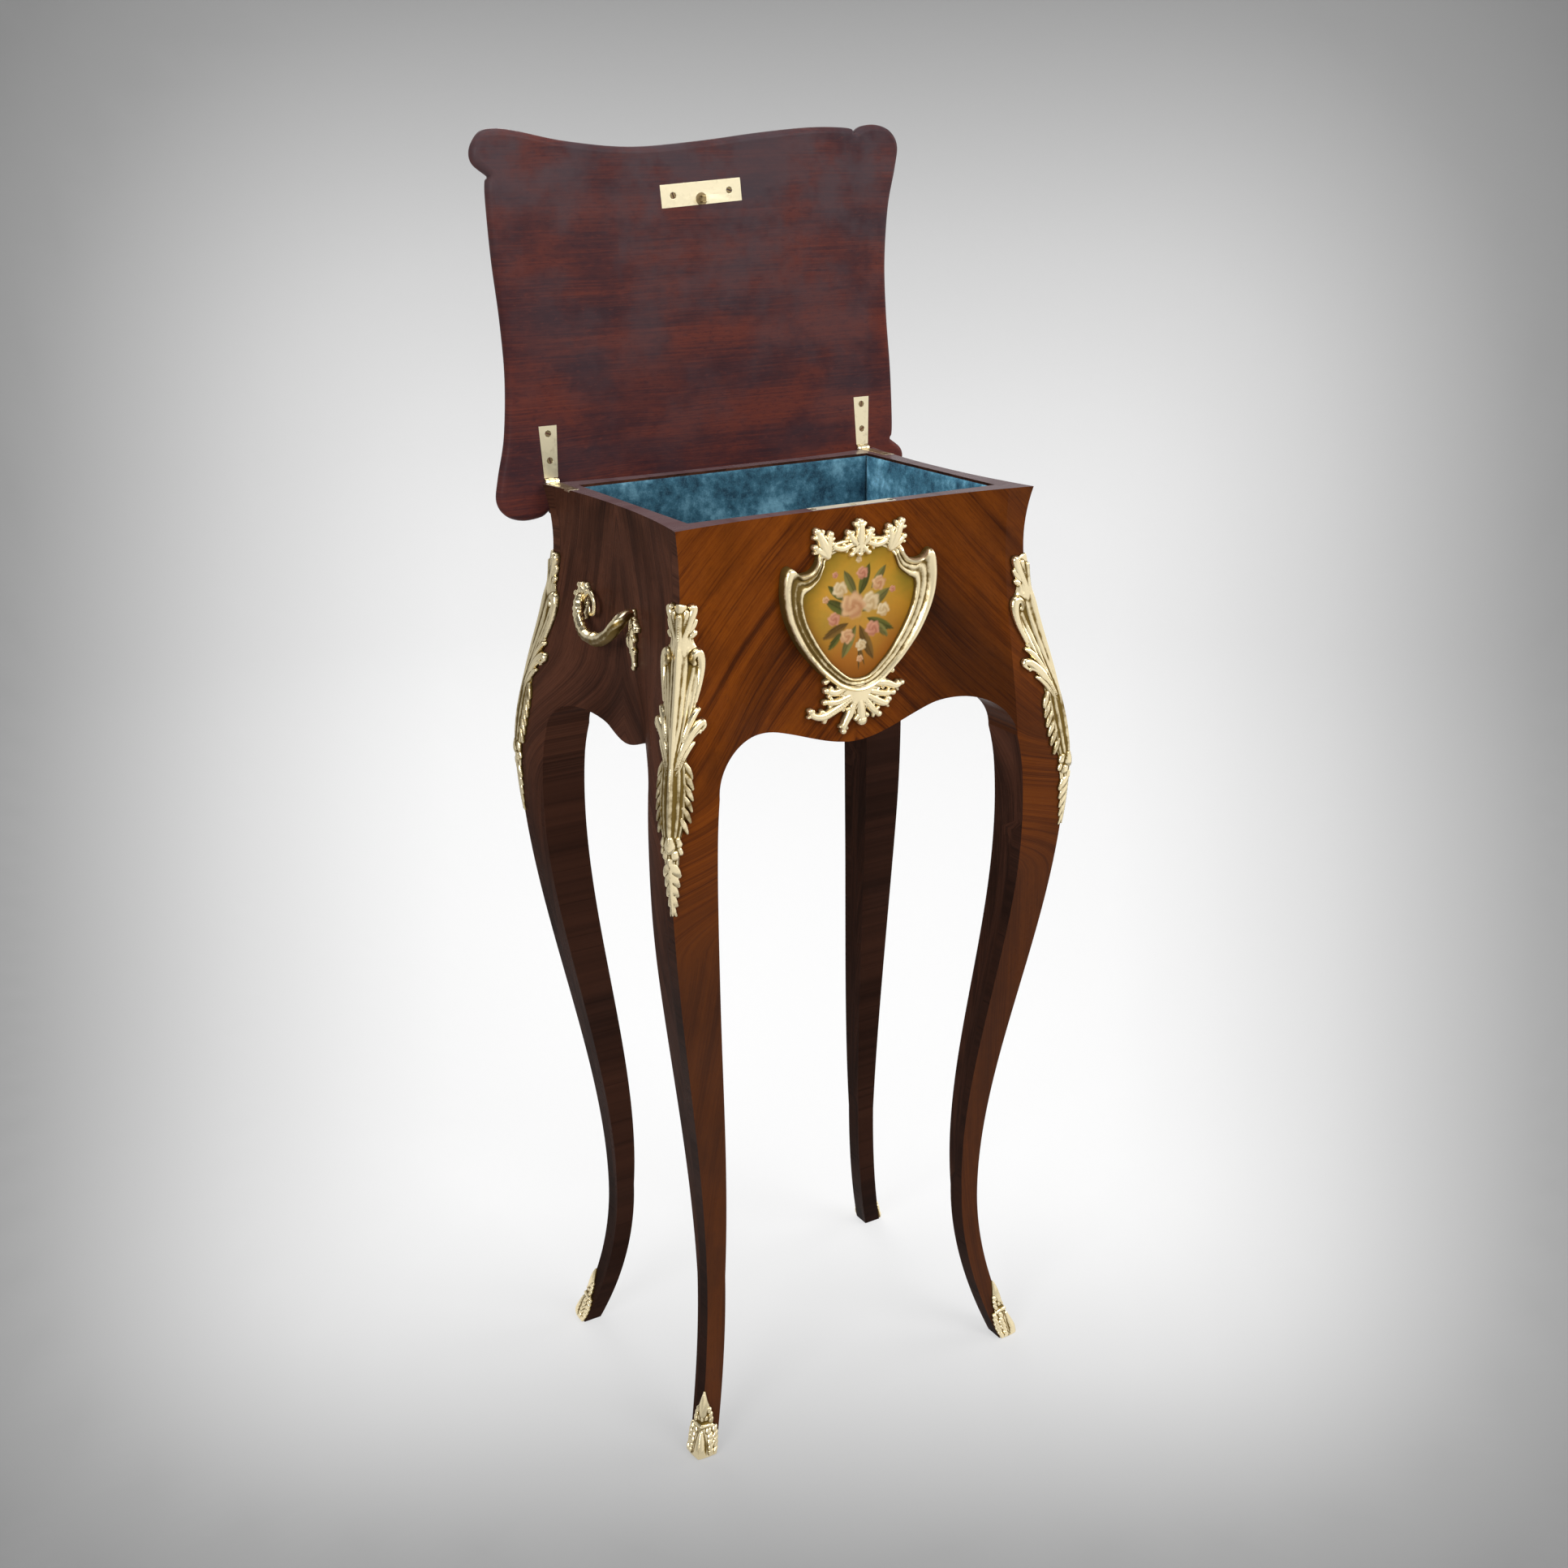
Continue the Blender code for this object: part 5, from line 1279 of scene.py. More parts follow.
def sabot_relief():
    """The foot mount's relief: a plain spade at the toe, rows of beads and a pointed leaf."""
    u = np.arange(-40, 41) * LEAF_CELL
    v = np.arange(-1, 132) * LEAF_CELL
    lobes = list(SABOT_LOBES)
    for up, size, high, places in SABOT_BEADS:
        for a in places:
            lobes.append(((a, up - 0.5, high, size * 0.8), (a * 1.02, up + 0.5, high, size * 0.8)))
    rise, inside = lobe_field(u, v, lobes)
    a, up = np.abs(u[:, None]), np.maximum(v[None, :], 0.0)
    half, relief = band_of(SABOT, up)
    within = np.where((v[None, :] < 0.0) | (up > SABOT[-1, 0]), OUTSIDE, half - a)
    inside = np.minimum(np.maximum(inside, within), v[None, :] + 0.00001)
    rise = np.maximum(rise, np.where(within > 0.0, relief * 0.8, 0.0))
    belly = np.clip(1.0 - ((a - 0.0065) / 0.0075) ** 2, 0.0, 1.0) * (1.0 - ease((up - 0.008) / 0.018))
    rise = np.where(inside > 0.0, rise + 0.0020 * belly, rise)
    rise = np.minimum(rise, 0.0010 + 0.0042 * np.sqrt(up / 0.006))
    rise = rise * (1.0 - 0.30 * np.exp(-(a / 0.0045) ** 2) * (1.0 - ease((up - 0.001) / 0.007)))
    places, heights, hollows, faces = cut_relief(u, v, rise, inside)
    across, up = np.abs(places[:, 0]), places[:, 1]
    # Darker by the floor at the outer edges and in a band 22 to 36 mm up: tarnish with painted shade
    tarnish_and_shade = 0.40 * np.exp(-(up / 0.004) ** 2) * ease((across - 0.004) / 0.002)
    tarnish_and_shade = tarnish_and_shade + 0.30 * window(up, 0.022, 0.025, 0.030, 0.036)
    return places, heights, np.clip(hollows + tarnish_and_shade, 0.0, 1.0), faces


def cast_on_corner(name, corner, relief, height_at):
    """One mount made from its relief, bent round a leg's outer corner."""
    sx, sy = CORNERS[corner]
    cast = Casting()
    cast.plate(relief, lambda rows: on_corner(sx, sy, rows[:, 0], height_at(rows[:, 1]), rows[:, 2] + SEAT))
    return cast.piece(name + "_gilt", FINISH["gilt"], [name])


# Cartouche

# Points of the outer line and of the opening, in metres, down one half
CARTOUCHE = (
    ((0.0000, 0.0530), (0.0000, 0.0450)), ((0.0120, 0.0528), (0.0080, 0.0455)),
    ((0.0230, 0.0510), (0.0160, 0.0450)), ((0.0315, 0.0480), (0.0240, 0.0420)),
    ((0.0355, 0.0435), (0.0290, 0.0380)), ((0.0372, 0.0385), (0.0305, 0.0345)),
    ((0.0430, 0.0335), (0.0340, 0.0270)), ((0.0525, 0.0335), (0.0410, 0.0210)),
    ((0.0590, 0.0390), (0.0455, 0.0182)), ((0.0640, 0.0350), (0.0472, 0.0160)),
    ((0.0655, 0.0180), (0.0475, 0.0090)), ((0.0620, 0.0000), (0.0440, -0.0040)),
    ((0.0520, -0.0200), (0.0360, -0.0190)), ((0.0385, -0.0370), (0.0260, -0.0330)),
    ((0.0285, -0.0465), (0.0180, -0.0410)), ((0.0205, -0.0530), (0.0120, -0.0460)),
    ((0.0130, -0.0570), (0.0080, -0.0485)), ((0.0065, -0.0592), (0.0040, -0.0496)),
    ((0.0000, -0.0600), (0.0000, -0.0500)),
)
# Section of the moulding from the opening outwards: share of the width, rise, and soil
FRAME_SHARES = np.array([
    0.0, 0.0, 0.06, 0.12, 0.19, 0.25, 0.33, 0.42, 0.50, 0.56, 0.64, 0.74, 0.84, 0.92, 0.975, 1.0,
])
FRAME_RISE = np.array([
    0.0, 0.0036, 0.0051, 0.0056, 0.0051, 0.0042, 0.0047, 0.0054, 0.0052, 0.0047, 0.0065, 0.0080, 0.0085,
    0.0076, 0.0048, 0.0,
])
FRAME_SOIL = (
    (0.0, 0.05, 0.12, 0.25, 0.42, 0.56, 0.70, 0.92, 1.0),
    (0.9, 0.4, 0.0, 0.78, 0.32, 0.80, 0.1, 0.05, 0.9),
)
# Leaves: rows of across, up, height and half width, in millimetres, then pairs of lower lobes
CREST = (
    (((27.0, 43.0, 5.0, 2.8), (30.0, 50.0, 6.4, 3.4), (33.4, 56.6, 6.0, 2.8), (35.8, 61.0, 4.8, 1.8)), 2),
    (((26.0, 45.0, 5.0, 2.2), (26.4, 52.0, 6.0, 2.6), (24.8, 58.0, 5.0, 1.7)), 2),
    (((28.0, 43.0, 5.0, 2.2), (33.0, 46.4, 5.8, 2.5), (37.4, 50.0, 4.8, 1.6)), 2),
    (((0.0, 46.0, 5.4, 2.8), (0.0, 54.0, 6.6, 3.4), (0.0, 60.6, 6.2, 2.8), (0.0, 64.0, 5.0, 1.9)), 2),
    (((2.0, 47.6, 5.2, 2.0), (6.6, 52.6, 6.0, 2.4), (9.6, 57.4, 5.0, 1.6)), 2),
    (((7.0, 49.0, 5.0, 1.8), (14.0, 46.6, 5.6, 2.1), (20.6, 48.0, 5.4, 1.9), (23.4, 51.0, 4.6, 1.5)), 2),
    (((1.0, 48.0, 5.6, 1.6), (4.4, 44.2, 5.6, 1.8), (7.2, 41.8, 4.8, 1.4)), 1),
    (((0.0, 48.0, 5.8, 1.7), (0.0, 43.8, 5.8, 1.8), (0.0, 41.4, 5.0, 1.4)), 1),
    (((0.0, 50.0, 3.0, 3.4), (16.0, 48.0, 2.8, 3.0), (28.0, 46.0, 3.0, 3.8)), 0),
)
PENDANT = (
    (((0.0, -60.0, 4.4, 9.0), (0.0, -63.5, 5.0, 11.5), (0.0, -68.0, 4.4, 9.0)), 0),
    (((-17.0, -58.0, 3.6, 4.0), (0.0, -62.0, 4.6, 8.0), (17.0, -58.0, 3.6, 4.0)), 0),
    (((-8.0, -65.0, 5.0, 2.4), (-20.0, -70.4, 6.0, 3.0), (-31.0, -74.4, 6.0, 2.8), (-39.6, -72.6, 5.4, 2.2),
      (-42.0, -68.6, 4.6, 1.5)), 3),
    (((-13.0, -56.0, 5.0, 2.2), (-21.0, -58.0, 5.6, 2.6), (-28.4, -55.6, 4.8, 1.7)), 2),
    (((-9.0, -63.0, 5.0, 2.0), (-20.0, -65.4, 5.6, 2.4), (-29.6, -64.0, 4.8, 1.6)), 2),
    (((-4.0, -67.0, 5.0, 2.2), (-8.6, -76.0, 6.0, 2.7), (-13.0, -83.6, 5.6, 2.2),
      (-13.6, -88.6, 4.6, 1.5)), 2),
    (((0.0, -67.0, 5.2, 2.8), (1.0, -75.0, 6.6, 3.5), (2.0, -82.4, 6.0, 2.7)), 2),
    (((5.0, -67.0, 5.0, 2.2), (11.0, -75.0, 5.8, 2.7), (17.0, -80.0, 4.8, 1.7)), 2),
    (((8.0, -65.0, 5.0, 2.2), (16.0, -70.0, 5.8, 2.7), (22.6, -72.6, 5.6, 2.2), (25.8, -70.0, 4.8, 1.5)), 2),
    (((11.0, -62.0, 5.0, 2.0), (21.0, -65.0, 5.4, 2.3), (29.4, -65.6, 4.8, 1.6)), 2),
    (((14.0, -56.0, 5.0, 2.2), (23.0, -57.4, 5.6, 2.7), (31.4, -60.8, 5.6, 2.2),
      (37.0, -59.2, 4.8, 1.5)), 2),
    (((26.4, -47.6, 5.0, 1.9), (28.4, -48.6, 5.2, 2.2)), 0),
    (((-27.0, -48.0, 5.0, 1.8), (-29.2, -49.0, 5.0, 2.1)), 0),
)


def on_front(rows):
    """Cartouche rows of across, up and out, in the table's own frame."""
    rows = np.asarray(rows, float)
    return np.stack([rows[..., 0], PLAQUE_BACK - rows[..., 2], CARTOUCHE_UP + rows[..., 1]], axis=-1)


def cartouche_loops(steps):
    """The frame's outer line and its opening, as closed loops."""
    loops = []
    for k in (0, 1):
        half = spline([pair[k] for pair in CARTOUCHE], steps)
        left = half * np.array([-1.0, 1.0])
        loops.append(np.concatenate([left, half[-2:0:-1]]))
    return loops


def make_cartouche():
    """The cast frame: a hollow moulding round the plaque, a leafy crest and a shell pendant."""
    cast = Casting()
    outer, opening = cartouche_loops(12)
    count, levels = len(outer), len(FRAME_SHARES)
    wide = np.linalg.norm(outer - opening, axis=1)
    swell = 0.80 + 0.20 * ease((wide - 0.007) / 0.010)
    swell = swell * (1.0 - 0.50 * ease((outer[:, 1] - 0.040) / 0.006))
    rows = []
    for share, rise in zip(FRAME_SHARES, FRAME_RISE):
        rows.append(np.column_stack([opening + (outer - opening) * share, rise * swell]))
    points = on_front(np.array(rows)).reshape(-1, 3)
    hollow = np.repeat(np.interp(FRAME_SHARES, *FRAME_SOIL), count)
    # Painted shade: the frame darkens towards its left side
    hollow = hollow + np.tile(0.28 * ease(-outer[:, 0] / 0.05), levels)
    cast.add(points, ring_faces(levels, count, closed=True), np.clip(hollow, 0.0, 1.0))
    u = np.arange(-120, 121) * LEAF_CELL
    for leaves, low, high, mirror in ((CREST, 0.036, 0.069, True), (PENDANT, -0.094, -0.044, False)):
        v = np.arange(low, high, LEAF_CELL)
        cast.plate(cut_relief(u, v, *lobe_field(u, v, leaf_lobes(leaves), mirror)), on_front)
    return cast.piece("cartouche_frame_gilt", FINISH["satin"], ["cartouche_frame"])


# Painted plaque

GREEN = (0.120, 0.125, 0.024)
BROWN = (0.210, 0.110, 0.024)
SAGE = (0.230, 0.205, 0.055)
PEACH = ((0.400, 0.130, 0.045), (0.800, 0.500, 0.260))
CREAM = ((0.480, 0.270, 0.090), (0.860, 0.690, 0.420))
PINK = ((0.340, 0.085, 0.045), (0.740, 0.360, 0.220))
# Leaves: place from the plaque's middle, length and width, in metres, then turn and tint
PAINTED_LEAVES = (
    (-0.004, -0.004, 0.030, 0.0050, 2.60, GREEN), (0.002, -0.002, 0.030, 0.0052, 0.55, SAGE),
    (0.000, 0.010, 0.026, 0.0045, 1.20, GREEN), (-0.002, 0.010, 0.024, 0.0042, 2.05, SAGE),
    (0.000, -0.010, 0.032, 0.0048, -1.15, BROWN), (-0.002, -0.010, 0.028, 0.0045, -2.05, SAGE),
    (0.006, -0.006, 0.028, 0.0040, -0.45, GREEN), (-0.008, -0.008, 0.026, 0.0042, -2.75, BROWN),
    (0.001, -0.020, 0.026, 0.0014, -1.62, BROWN), (-0.001, -0.020, 0.024, 0.0013, -1.30, BROWN),
    (0.010, 0.014, 0.022, 0.0036, 0.90, SAGE), (-0.012, 0.008, 0.020, 0.0034, 2.40, GREEN),
    (0.014, -0.010, 0.018, 0.0032, -0.85, SAGE), (-0.014, -0.014, 0.018, 0.0032, -2.35, GREEN),
)
# Roses: place and size, in metres, then turn and the tints of their folds
PAINTED_ROSES = (
    (0.003, 0.027, 0.0062, 0.7, PINK), (-0.016, 0.017, 0.0078, 0.3, CREAM),
    (0.017, 0.018, 0.0074, 1.1, PEACH), (0.021, -0.002, 0.0068, 0.2, CREAM),
    (-0.021, -0.004, 0.0066, 0.9, PINK), (0.012, -0.015, 0.0078, 0.5, PINK),
    (-0.010, -0.018, 0.0074, 1.4, PEACH), (0.002, -0.026, 0.0058, 2.0, CREAM),
    (0.010, 0.005, 0.0098, 0.8, CREAM), (-0.005, 0.004, 0.0132, 0.0, PEACH),
    (-0.028, 0.011, 0.0036, 0.0, PEACH), (0.029, 0.012, 0.0034, 0.6, PINK),
    (0.000, 0.037, 0.0032, 0.5, CREAM), (0.001, -0.036, 0.0036, 0.2, PEACH),
    (-0.020, 0.028, 0.0032, 1.2, PINK),
)


def petals(x, y, cx, cy, size, turn, colours, paint):
    """Paints one full rose over the colours so far."""
    dx, dy = x - cx, (y - cy) * 1.08
    r = np.sqrt(dx * dx + dy * dy) / size
    theta = np.arctan2(dy, dx) + turn
    edge = 0.90 + 0.06 * np.cos(5.0 * theta) + 0.05 * np.cos(8.0 * theta + 1.0)
    inside = ease((edge - r) / 0.28)[..., None]
    fold = 0.5 + 0.5 * np.sin(11.0 * r + 2.0 * theta + 0.8 * np.sin(3.0 * theta))
    light = ease((0.5 * (dy - dx) / size + 0.55) / 1.1)
    shade = np.clip(0.10 + 0.30 * r + 0.36 * light + 0.34 * fold * ease(r / 0.25), 0.0, 1.0)[..., None]
    bloom = np.array(colours[0]) * (1.0 - shade) + np.array(colours[1]) * shade
    return paint * (1.0 - inside) + bloom * inside


def leaf_stroke(x, y, cx, cy, long, wide, turn, tint, paint):
    """Paints one pointed leaf over the colours so far."""
    c, s = math.cos(turn), math.sin(turn)
    u = ((x - cx) * c + (y - cy) * s) / long
    v = (-(x - cx) * s + (y - cy) * c) / wide
    body = np.clip(1.0 - np.abs(2.0 * u - 1.0) ** 2.2, 0.0, 1.0) * (u > 0.0) * (u < 1.0)
    inside = ease((body - np.abs(v)) / 0.3)[..., None]
    rib = (1.0 - 0.35 * np.exp(-(v / 0.12) ** 2))[..., None]
    leaf = np.array(tint) * (0.75 + 0.5 * np.clip(v, -0.5, 0.5))[..., None] * rib
    return paint * (1.0 - inside) + leaf * inside


def flower_painting(x, y):
    """A generic spray of flowers on an olive and gold ground that turns sienna lower down."""
    top = np.array((0.580, 0.285, 0.018))
    olive = np.array((0.350, 0.235, 0.016))
    low = np.array((0.360, 0.105, 0.006))
    cloud = 0.5 + 0.25 * np.sin(x * 130 + 2 * np.sin(y * 90)) + 0.25 * np.sin(y * 150 - x * 70 + 1.3)
    cloud = cloud + 0.12 * np.sin(x * 420 + 3 * np.sin(y * 310)) * np.sin(y * 380 + 1.0)
    rise = ease((y + 0.042 + 0.006 * np.sin(x * 160)) / 0.060)[..., None]
    cloud = np.clip(cloud, 0.0, 1.0)[..., None]
    paint = low * (1.0 - rise) + (top * (1.0 - cloud) + olive * cloud) * rise
    glow = 0.45 * np.exp(-((x + 0.004) ** 2 + (y - 0.002) ** 2) / 0.0011)[..., None]
    paint = paint * (1.0 - glow) + np.array((0.700, 0.380, 0.090)) * glow
    rim = ease((np.sqrt(x * x + (y * 0.9) ** 2) - 0.030) / 0.018)[..., None]
    paint = paint * (1.0 - 0.30 * rim)
    for leaf in PAINTED_LEAVES:
        paint = leaf_stroke(x, y, *leaf, paint)
    for rose in PAINTED_ROSES:
        paint = petals(x, y, *rose, paint)
    return np.clip(paint, 0.0, 1.0)


def make_plaque():
    """The plaque: fine rings from its middle to the edge held by the frame."""
    opening = cartouche_loops(12)[1]
    edge = opening + outward(opening) * PLAQUE_LAP
    centre = np.array((0.0, -0.002))
    rows = [np.column_stack([edge, np.zeros(len(edge))])]
    for share in np.linspace(1.0, 1.0 / PLAQUE_RINGS, PLAQUE_RINGS):
        plan = centre + (edge - centre) * share
        rows.append(np.column_stack([plan, np.full(len(edge), PLAQUE_THICK)]))
    points, faces = loft(on_front(np.array(rows)))
    obj = piece("painted_plaque_flowers", points, faces, "case", ["painted_plaque"])
    p = points_of(obj)
    paint = flower_painting(p[:, 0], p[:, 2] - CARTOUCHE_UP)
    note(obj, "paint", "FLOAT_COLOR", np.column_stack([paint, np.ones(len(p))]))
    obj.data.materials.append(FINISH["plaque"])
    return obj


# Side pulls

# Rows of along the side, up, out and radius, in metres
HANDLE_BAR = (
    (0.0480, 0.0000, 0.0022, 0.0030), (0.0480, 0.0000, 0.0070, 0.0042), (0.0405, -0.0120, 0.0120, 0.0041),
    (0.0240, -0.0210, 0.0160, 0.0045), (0.0010, -0.0195, 0.0180, 0.0050), (-0.0170, -0.0120, 0.0178, 0.0052),
    (-0.0280, -0.0020, 0.0150, 0.0054), (-0.0275, 0.0035, 0.0075, 0.0044), (-0.0265, 0.0030, 0.0022, 0.0030),
)
HANDLE_CURL = (
    (0.0450, -0.0020, 0.0050, 0.0016), (0.0390, 0.0050, 0.0066, 0.0022), (0.0320, 0.0080, 0.0074, 0.0022),
    (0.0260, 0.0030, 0.0076, 0.0021), (0.0265, -0.0055, 0.0074, 0.0020), (0.0330, -0.0085, 0.0070, 0.0018),
    (0.0350, -0.0035, 0.0064, 0.0010),
)
# Leaves, in rows like those of the cartouche
HANDLE_LEAVES = (
    (((46.0, -3.0, 4.6, 2.8), (53.0, -0.6, 5.4, 3.0), (61.0, 1.6, 3.4, 1.7)), 2),
    (((47.0, -1.0, 4.6, 2.4), (51.6, 5.0, 5.4, 2.8), (56.6, 8.6, 3.4, 1.6)), 2),
    (((45.0, 0.0, 4.4, 2.2), (45.0, 5.4, 5.0, 2.4), (47.4, 10.0, 3.4, 1.5)), 1),
    (((48.0, -5.0, 4.6, 2.4), (54.0, -8.0, 5.0, 2.6), (59.4, -9.4, 3.4, 1.5)), 2),
    (((47.0, -6.0, 4.6, 2.2), (50.0, -12.6, 4.8, 2.4), (53.4, -16.0, 3.4, 1.5)), 1),
    (((-27.0, 4.0, 4.0, 2.6), (-26.5, -8.0, 5.4, 3.1), (-25.2, -19.0, 5.2, 2.9), (-27.2, -29.0, 4.2, 2.2),
      (-24.2, -37.0, 3.0, 1.4)), 4),
    (((-27.0, -6.0, 5.0, 2.4), (-32.0, -4.6, 5.6, 2.2), (-35.6, -6.4, 3.6, 1.4)), 1),
    (((-25.0, -10.0, 5.0, 2.2), (-20.6, -15.0, 5.4, 2.0), (-21.4, -20.6, 5.0, 1.8),
      (-24.0, -22.0, 3.6, 1.2)), 0),
)


def make_handle(side):
    """A cast pull: a bar sheathed in leaves, a C-scroll and leaf plates at its two seats."""
    sx = SIDES[side]
    cast = Casting()

    def place(rows):
        z = HANDLE_UP + rows[:, 1]
        out = face_out(RIM_D / 2, rows[:, 0], z) + rows[:, 2]
        return np.stack([sx * (RIM_W / 2 + out), rows[:, 0], z], axis=-1)

    bar = spline(HANDLE_BAR, 10)
    step = np.linspace(0.0, 1.0, len(bar))
    swell = 1.0 + 0.10 * np.cos(2 * math.pi * step * 26) * window(step, 0.10, 0.16, 0.34, 0.42)
    swell = swell + 0.16 * np.exp(-((step - 0.47) / 0.015) ** 2)
    cast.scroll(place(bar), bar[:, 3] * swell, np.tile((0.0, 0.3, 1.0), (len(bar), 1)), 0.95, 6, 0.05, 24)
    curl = spline(HANDLE_CURL, 8)
    cast.scroll(place(curl), curl[:, 3], np.tile((sx, 0.0, 0.0), (len(curl), 1)), 0.8)
    u = np.arange(-0.040, 0.070, LEAF_CELL)
    v = np.arange(-0.044, 0.016, LEAF_CELL)
    relief = cut_relief(u, v, *lobe_field(u, v, leaf_lobes(HANDLE_LEAVES), mirror=False))
    cast.plate(relief, lambda rows: place(rows + np.array((0.0, 0.0, SEAT))))
    return cast.piece("handle_%s_gilt" % side, FINISH["gilt"], ["handle_" + side])


# Screws


def make_screw(node, body, slot_turn):
    """A countersunk screw with a cut slot, in its solid's place."""
    p = points_of(NODES[node])
    axis = way_out(body)
    middle = p.mean(axis=0)
    along = (p - middle) @ axis
    head = middle + axis * (along.max() + PROUD)
    big = float(np.linalg.norm((p - middle) - along[:, None] * axis, axis=1).max())
    side = np.array((1.0, 0.0, 0.0))
    other = np.cross(axis, side)
    c, s = math.cos(slot_turn), math.sin(slot_turn)
    u, v = side * c + other * s, other * c - side * s
    points, faces = [], []

    def prism(plan, top, low):
        start = len(points)
        made, sides = loft([[head + u * a + v * b + axis * level for a, b in plan] for level in (low, top)])
        points.extend(made)
        faces.extend(tuple(start + i for i in f) for f in sides)

    def disc(radius):
        return [(radius * math.cos(t), radius * math.sin(t)) for t in np.arange(20) * 2 * math.pi / 20]

    reach = math.acos(SLOT_SHARE)
    for way in (1.0, -1.0):
        turns = np.linspace(-reach, reach, 15)
        prism([(way * big * math.cos(t), big * math.sin(t)) for t in turns], 0.0, -SLOT_DEEP)
    prism(disc(big * 0.98), -0.0005, -2 * SLOT_DEEP)
    prism(disc(0.0010), -2 * SLOT_DEEP, float(along.min() - along.max()))
    obj = piece(node + "_slotted", np.array(points), faces, body, [node], 30.0)
    depth = (points_of(obj) - head) @ axis
    note(obj, "hollow", "FLOAT", 0.62 + np.clip(-depth / SLOT_DEEP, 0.0, 1.0) * 0.6)
    obj.data.materials.append(FINISH["screw"])
    return soften(obj, 0.00012, 2, 40.0)


# Operators


class TABLE_OT_stage(bpy.types.Operator):
    """Set up the pale studio sweep, the soft lights and the camera"""

    bl_idname = "work_table.stage"
    bl_label = "Stage"

    def execute(self, context):
        scene = context.scene
        settings = scene.table_stage
        make_finishes(scene)
        points, faces = self.sweep()
        mesh = bpy.data.meshes.new("studio_sweep")
        mesh.from_pydata(points, [], faces)
        mesh.shade_smooth()
        sweep = bpy.data.objects.new("studio_sweep", mesh)
        scene.collection.objects.link(sweep)
        # Painted light and shade on the backdrop, as a colour for each point
        paint = self.sweep_painted_light(points, settings)
        note(sweep, "paint", "FLOAT_COLOR", np.column_stack([paint, np.ones(len(paint))]))
        mesh.materials.append(self.sweep_finish())
        for name, at, aim, size, kind, share in LIGHTS:
            self.light(scene, name, at, (0.0, 0.0, aim), size, getattr(settings, kind) * share)
        world = bpy.data.worlds.new("studio")
        scene.world = world
        world.use_nodes = True
        air = world.node_tree.nodes["Background"].inputs
        air["Color"].default_value = (0.9, 0.9, 0.9, 1.0)
        air["Strength"].default_value = 0.10
        data = bpy.data.cameras.new("camera")
        data.sensor_width = 36.0
        data.lens = CAMERA_LENS
        camera = bpy.data.objects.new("camera", data)
        scene.collection.objects.link(camera)
        turn = Matrix(CAMERA_ROWS).transposed().to_4x4()
        camera.matrix_world = Matrix.Translation(CAMERA_AT) @ turn
        scene.camera = camera
        scene.view_settings.view_transform = "Standard"
        return {"FINISHED"}

    @staticmethod
    def sweep():
        """A round floor that curves up into a wall."""
        count = 192
        turns = np.arange(count) * 2 * math.pi / count
        profile = [(r, 0.0) for r in np.arange(0.06, 2.37, 0.06)]
        for t in np.linspace(0.0, math.pi / 2, 25):
            profile.append((SWEEP_FLAT + SWEEP_BEND * math.sin(t), SWEEP_BEND * (1.0 - math.cos(t))))
        profile += [(SWEEP_FLAT + SWEEP_BEND, z) for z in np.arange(1.0, 3.5, 0.1)]
        points = [(0.0, 0.0, 0.0)]
        points += [(r * math.cos(t), r * math.sin(t), z) for r, z in profile for t in turns]
        faces = [(0, 1 + i, 1 + (i + 1) % count) for i in range(count)]
        faces += [(1 + a, 1 + d, 1 + c, 1 + b) for a, b, c, d in ring_faces(len(profile), count)]
        return np.array(points), faces

    @staticmethod
    def sweep_painted_light(points, settings):
        """Painted light on the backdrop: brightest behind the table and dimmer towards the edges of the
        picture, with a painted shaded side on the left beyond them.
        """
        rows = (points - np.array(CAMERA_AT)) @ np.array(CAMERA_ROWS).T
        depth = np.maximum(-rows[:, 2], 0.05) * PICTURE_HALF
        across, up = np.abs(rows[:, 0] / depth + PICTURE_SHIFT), rows[:, 1] / depth
        wide = np.maximum(1.43 * across - 0.43, 0.0)
        high = np.maximum(np.maximum(1.170 * up - 0.234, -1.835 * up - 0.822), 0.0)
        far = np.cbrt(wide ** 3 + high ** 3)
        share = np.interp(far, *SWEEP_FALL)[:, None]
        bright, dim = np.array(settings.bright), np.array(settings.dim)
        flank = np.clip((points[:, 0] + 2.8) / 4.4, 0.0, 1.0)[:, None]
        flank = np.array(settings.shade) * (1.0 - flank) + np.array(settings.round) * flank
        out = np.clip((far - 1.35) / 0.85, 0.0, 1.0)[:, None]
        return (dim + (bright - dim) * share) * (1.0 - out) + flank * out

    @staticmethod
    def sweep_finish():
        """Matt backdrop that glows with its painted light to the eye and in the metal, and keeps the table's
        shadow.
        """
        material, nodes, shader = blank("studio backdrop with painted light")
        tree = material.node_tree
        paint = nodes.attribute("paint", "Color")
        fit(nodes, shader, {"Roughness": 0.9, "Base Color": nodes.mix(0.72, paint, BLACK)})
        glow = nodes.node("Emission", {"Color": paint, "Strength": 0.74})
        seen = nodes.node("AddShader", {0: shader.outputs[0], 1: glow.outputs[0]})
        other = nodes.node("BsdfDiffuse", {"Color": (0.55, 0.55, 0.55)})
        ray = nodes.node("LightPath").outputs
        direct = nodes.math("MAXIMUM", ray["Is Camera Ray"], ray["Is Glossy Ray"])
        direct = nodes.math("MAXIMUM", direct, ray["Is Transmission Ray"])
        both = nodes.node("MixShader", {0: direct, 1: other.outputs[0], 2: seen.outputs[0]})
        tree.links.new(both.outputs[0], tree.nodes["Material Output"].inputs["Surface"])
        return material

    @staticmethod
    def light(scene, name, at, to, size, power):
        """One round softbox, turned towards a place on the table."""
        data = bpy.data.lights.new(name, "AREA")
        data.shape = "DISK"
        data.size = size
        data.energy = power
        lamp = bpy.data.objects.new(name, data)
        scene.collection.objects.link(lamp)
        lamp.location = at
        lamp.rotation_euler = (Vector(to) - Vector(at)).to_track_quat("-Z", "Y").to_euler()


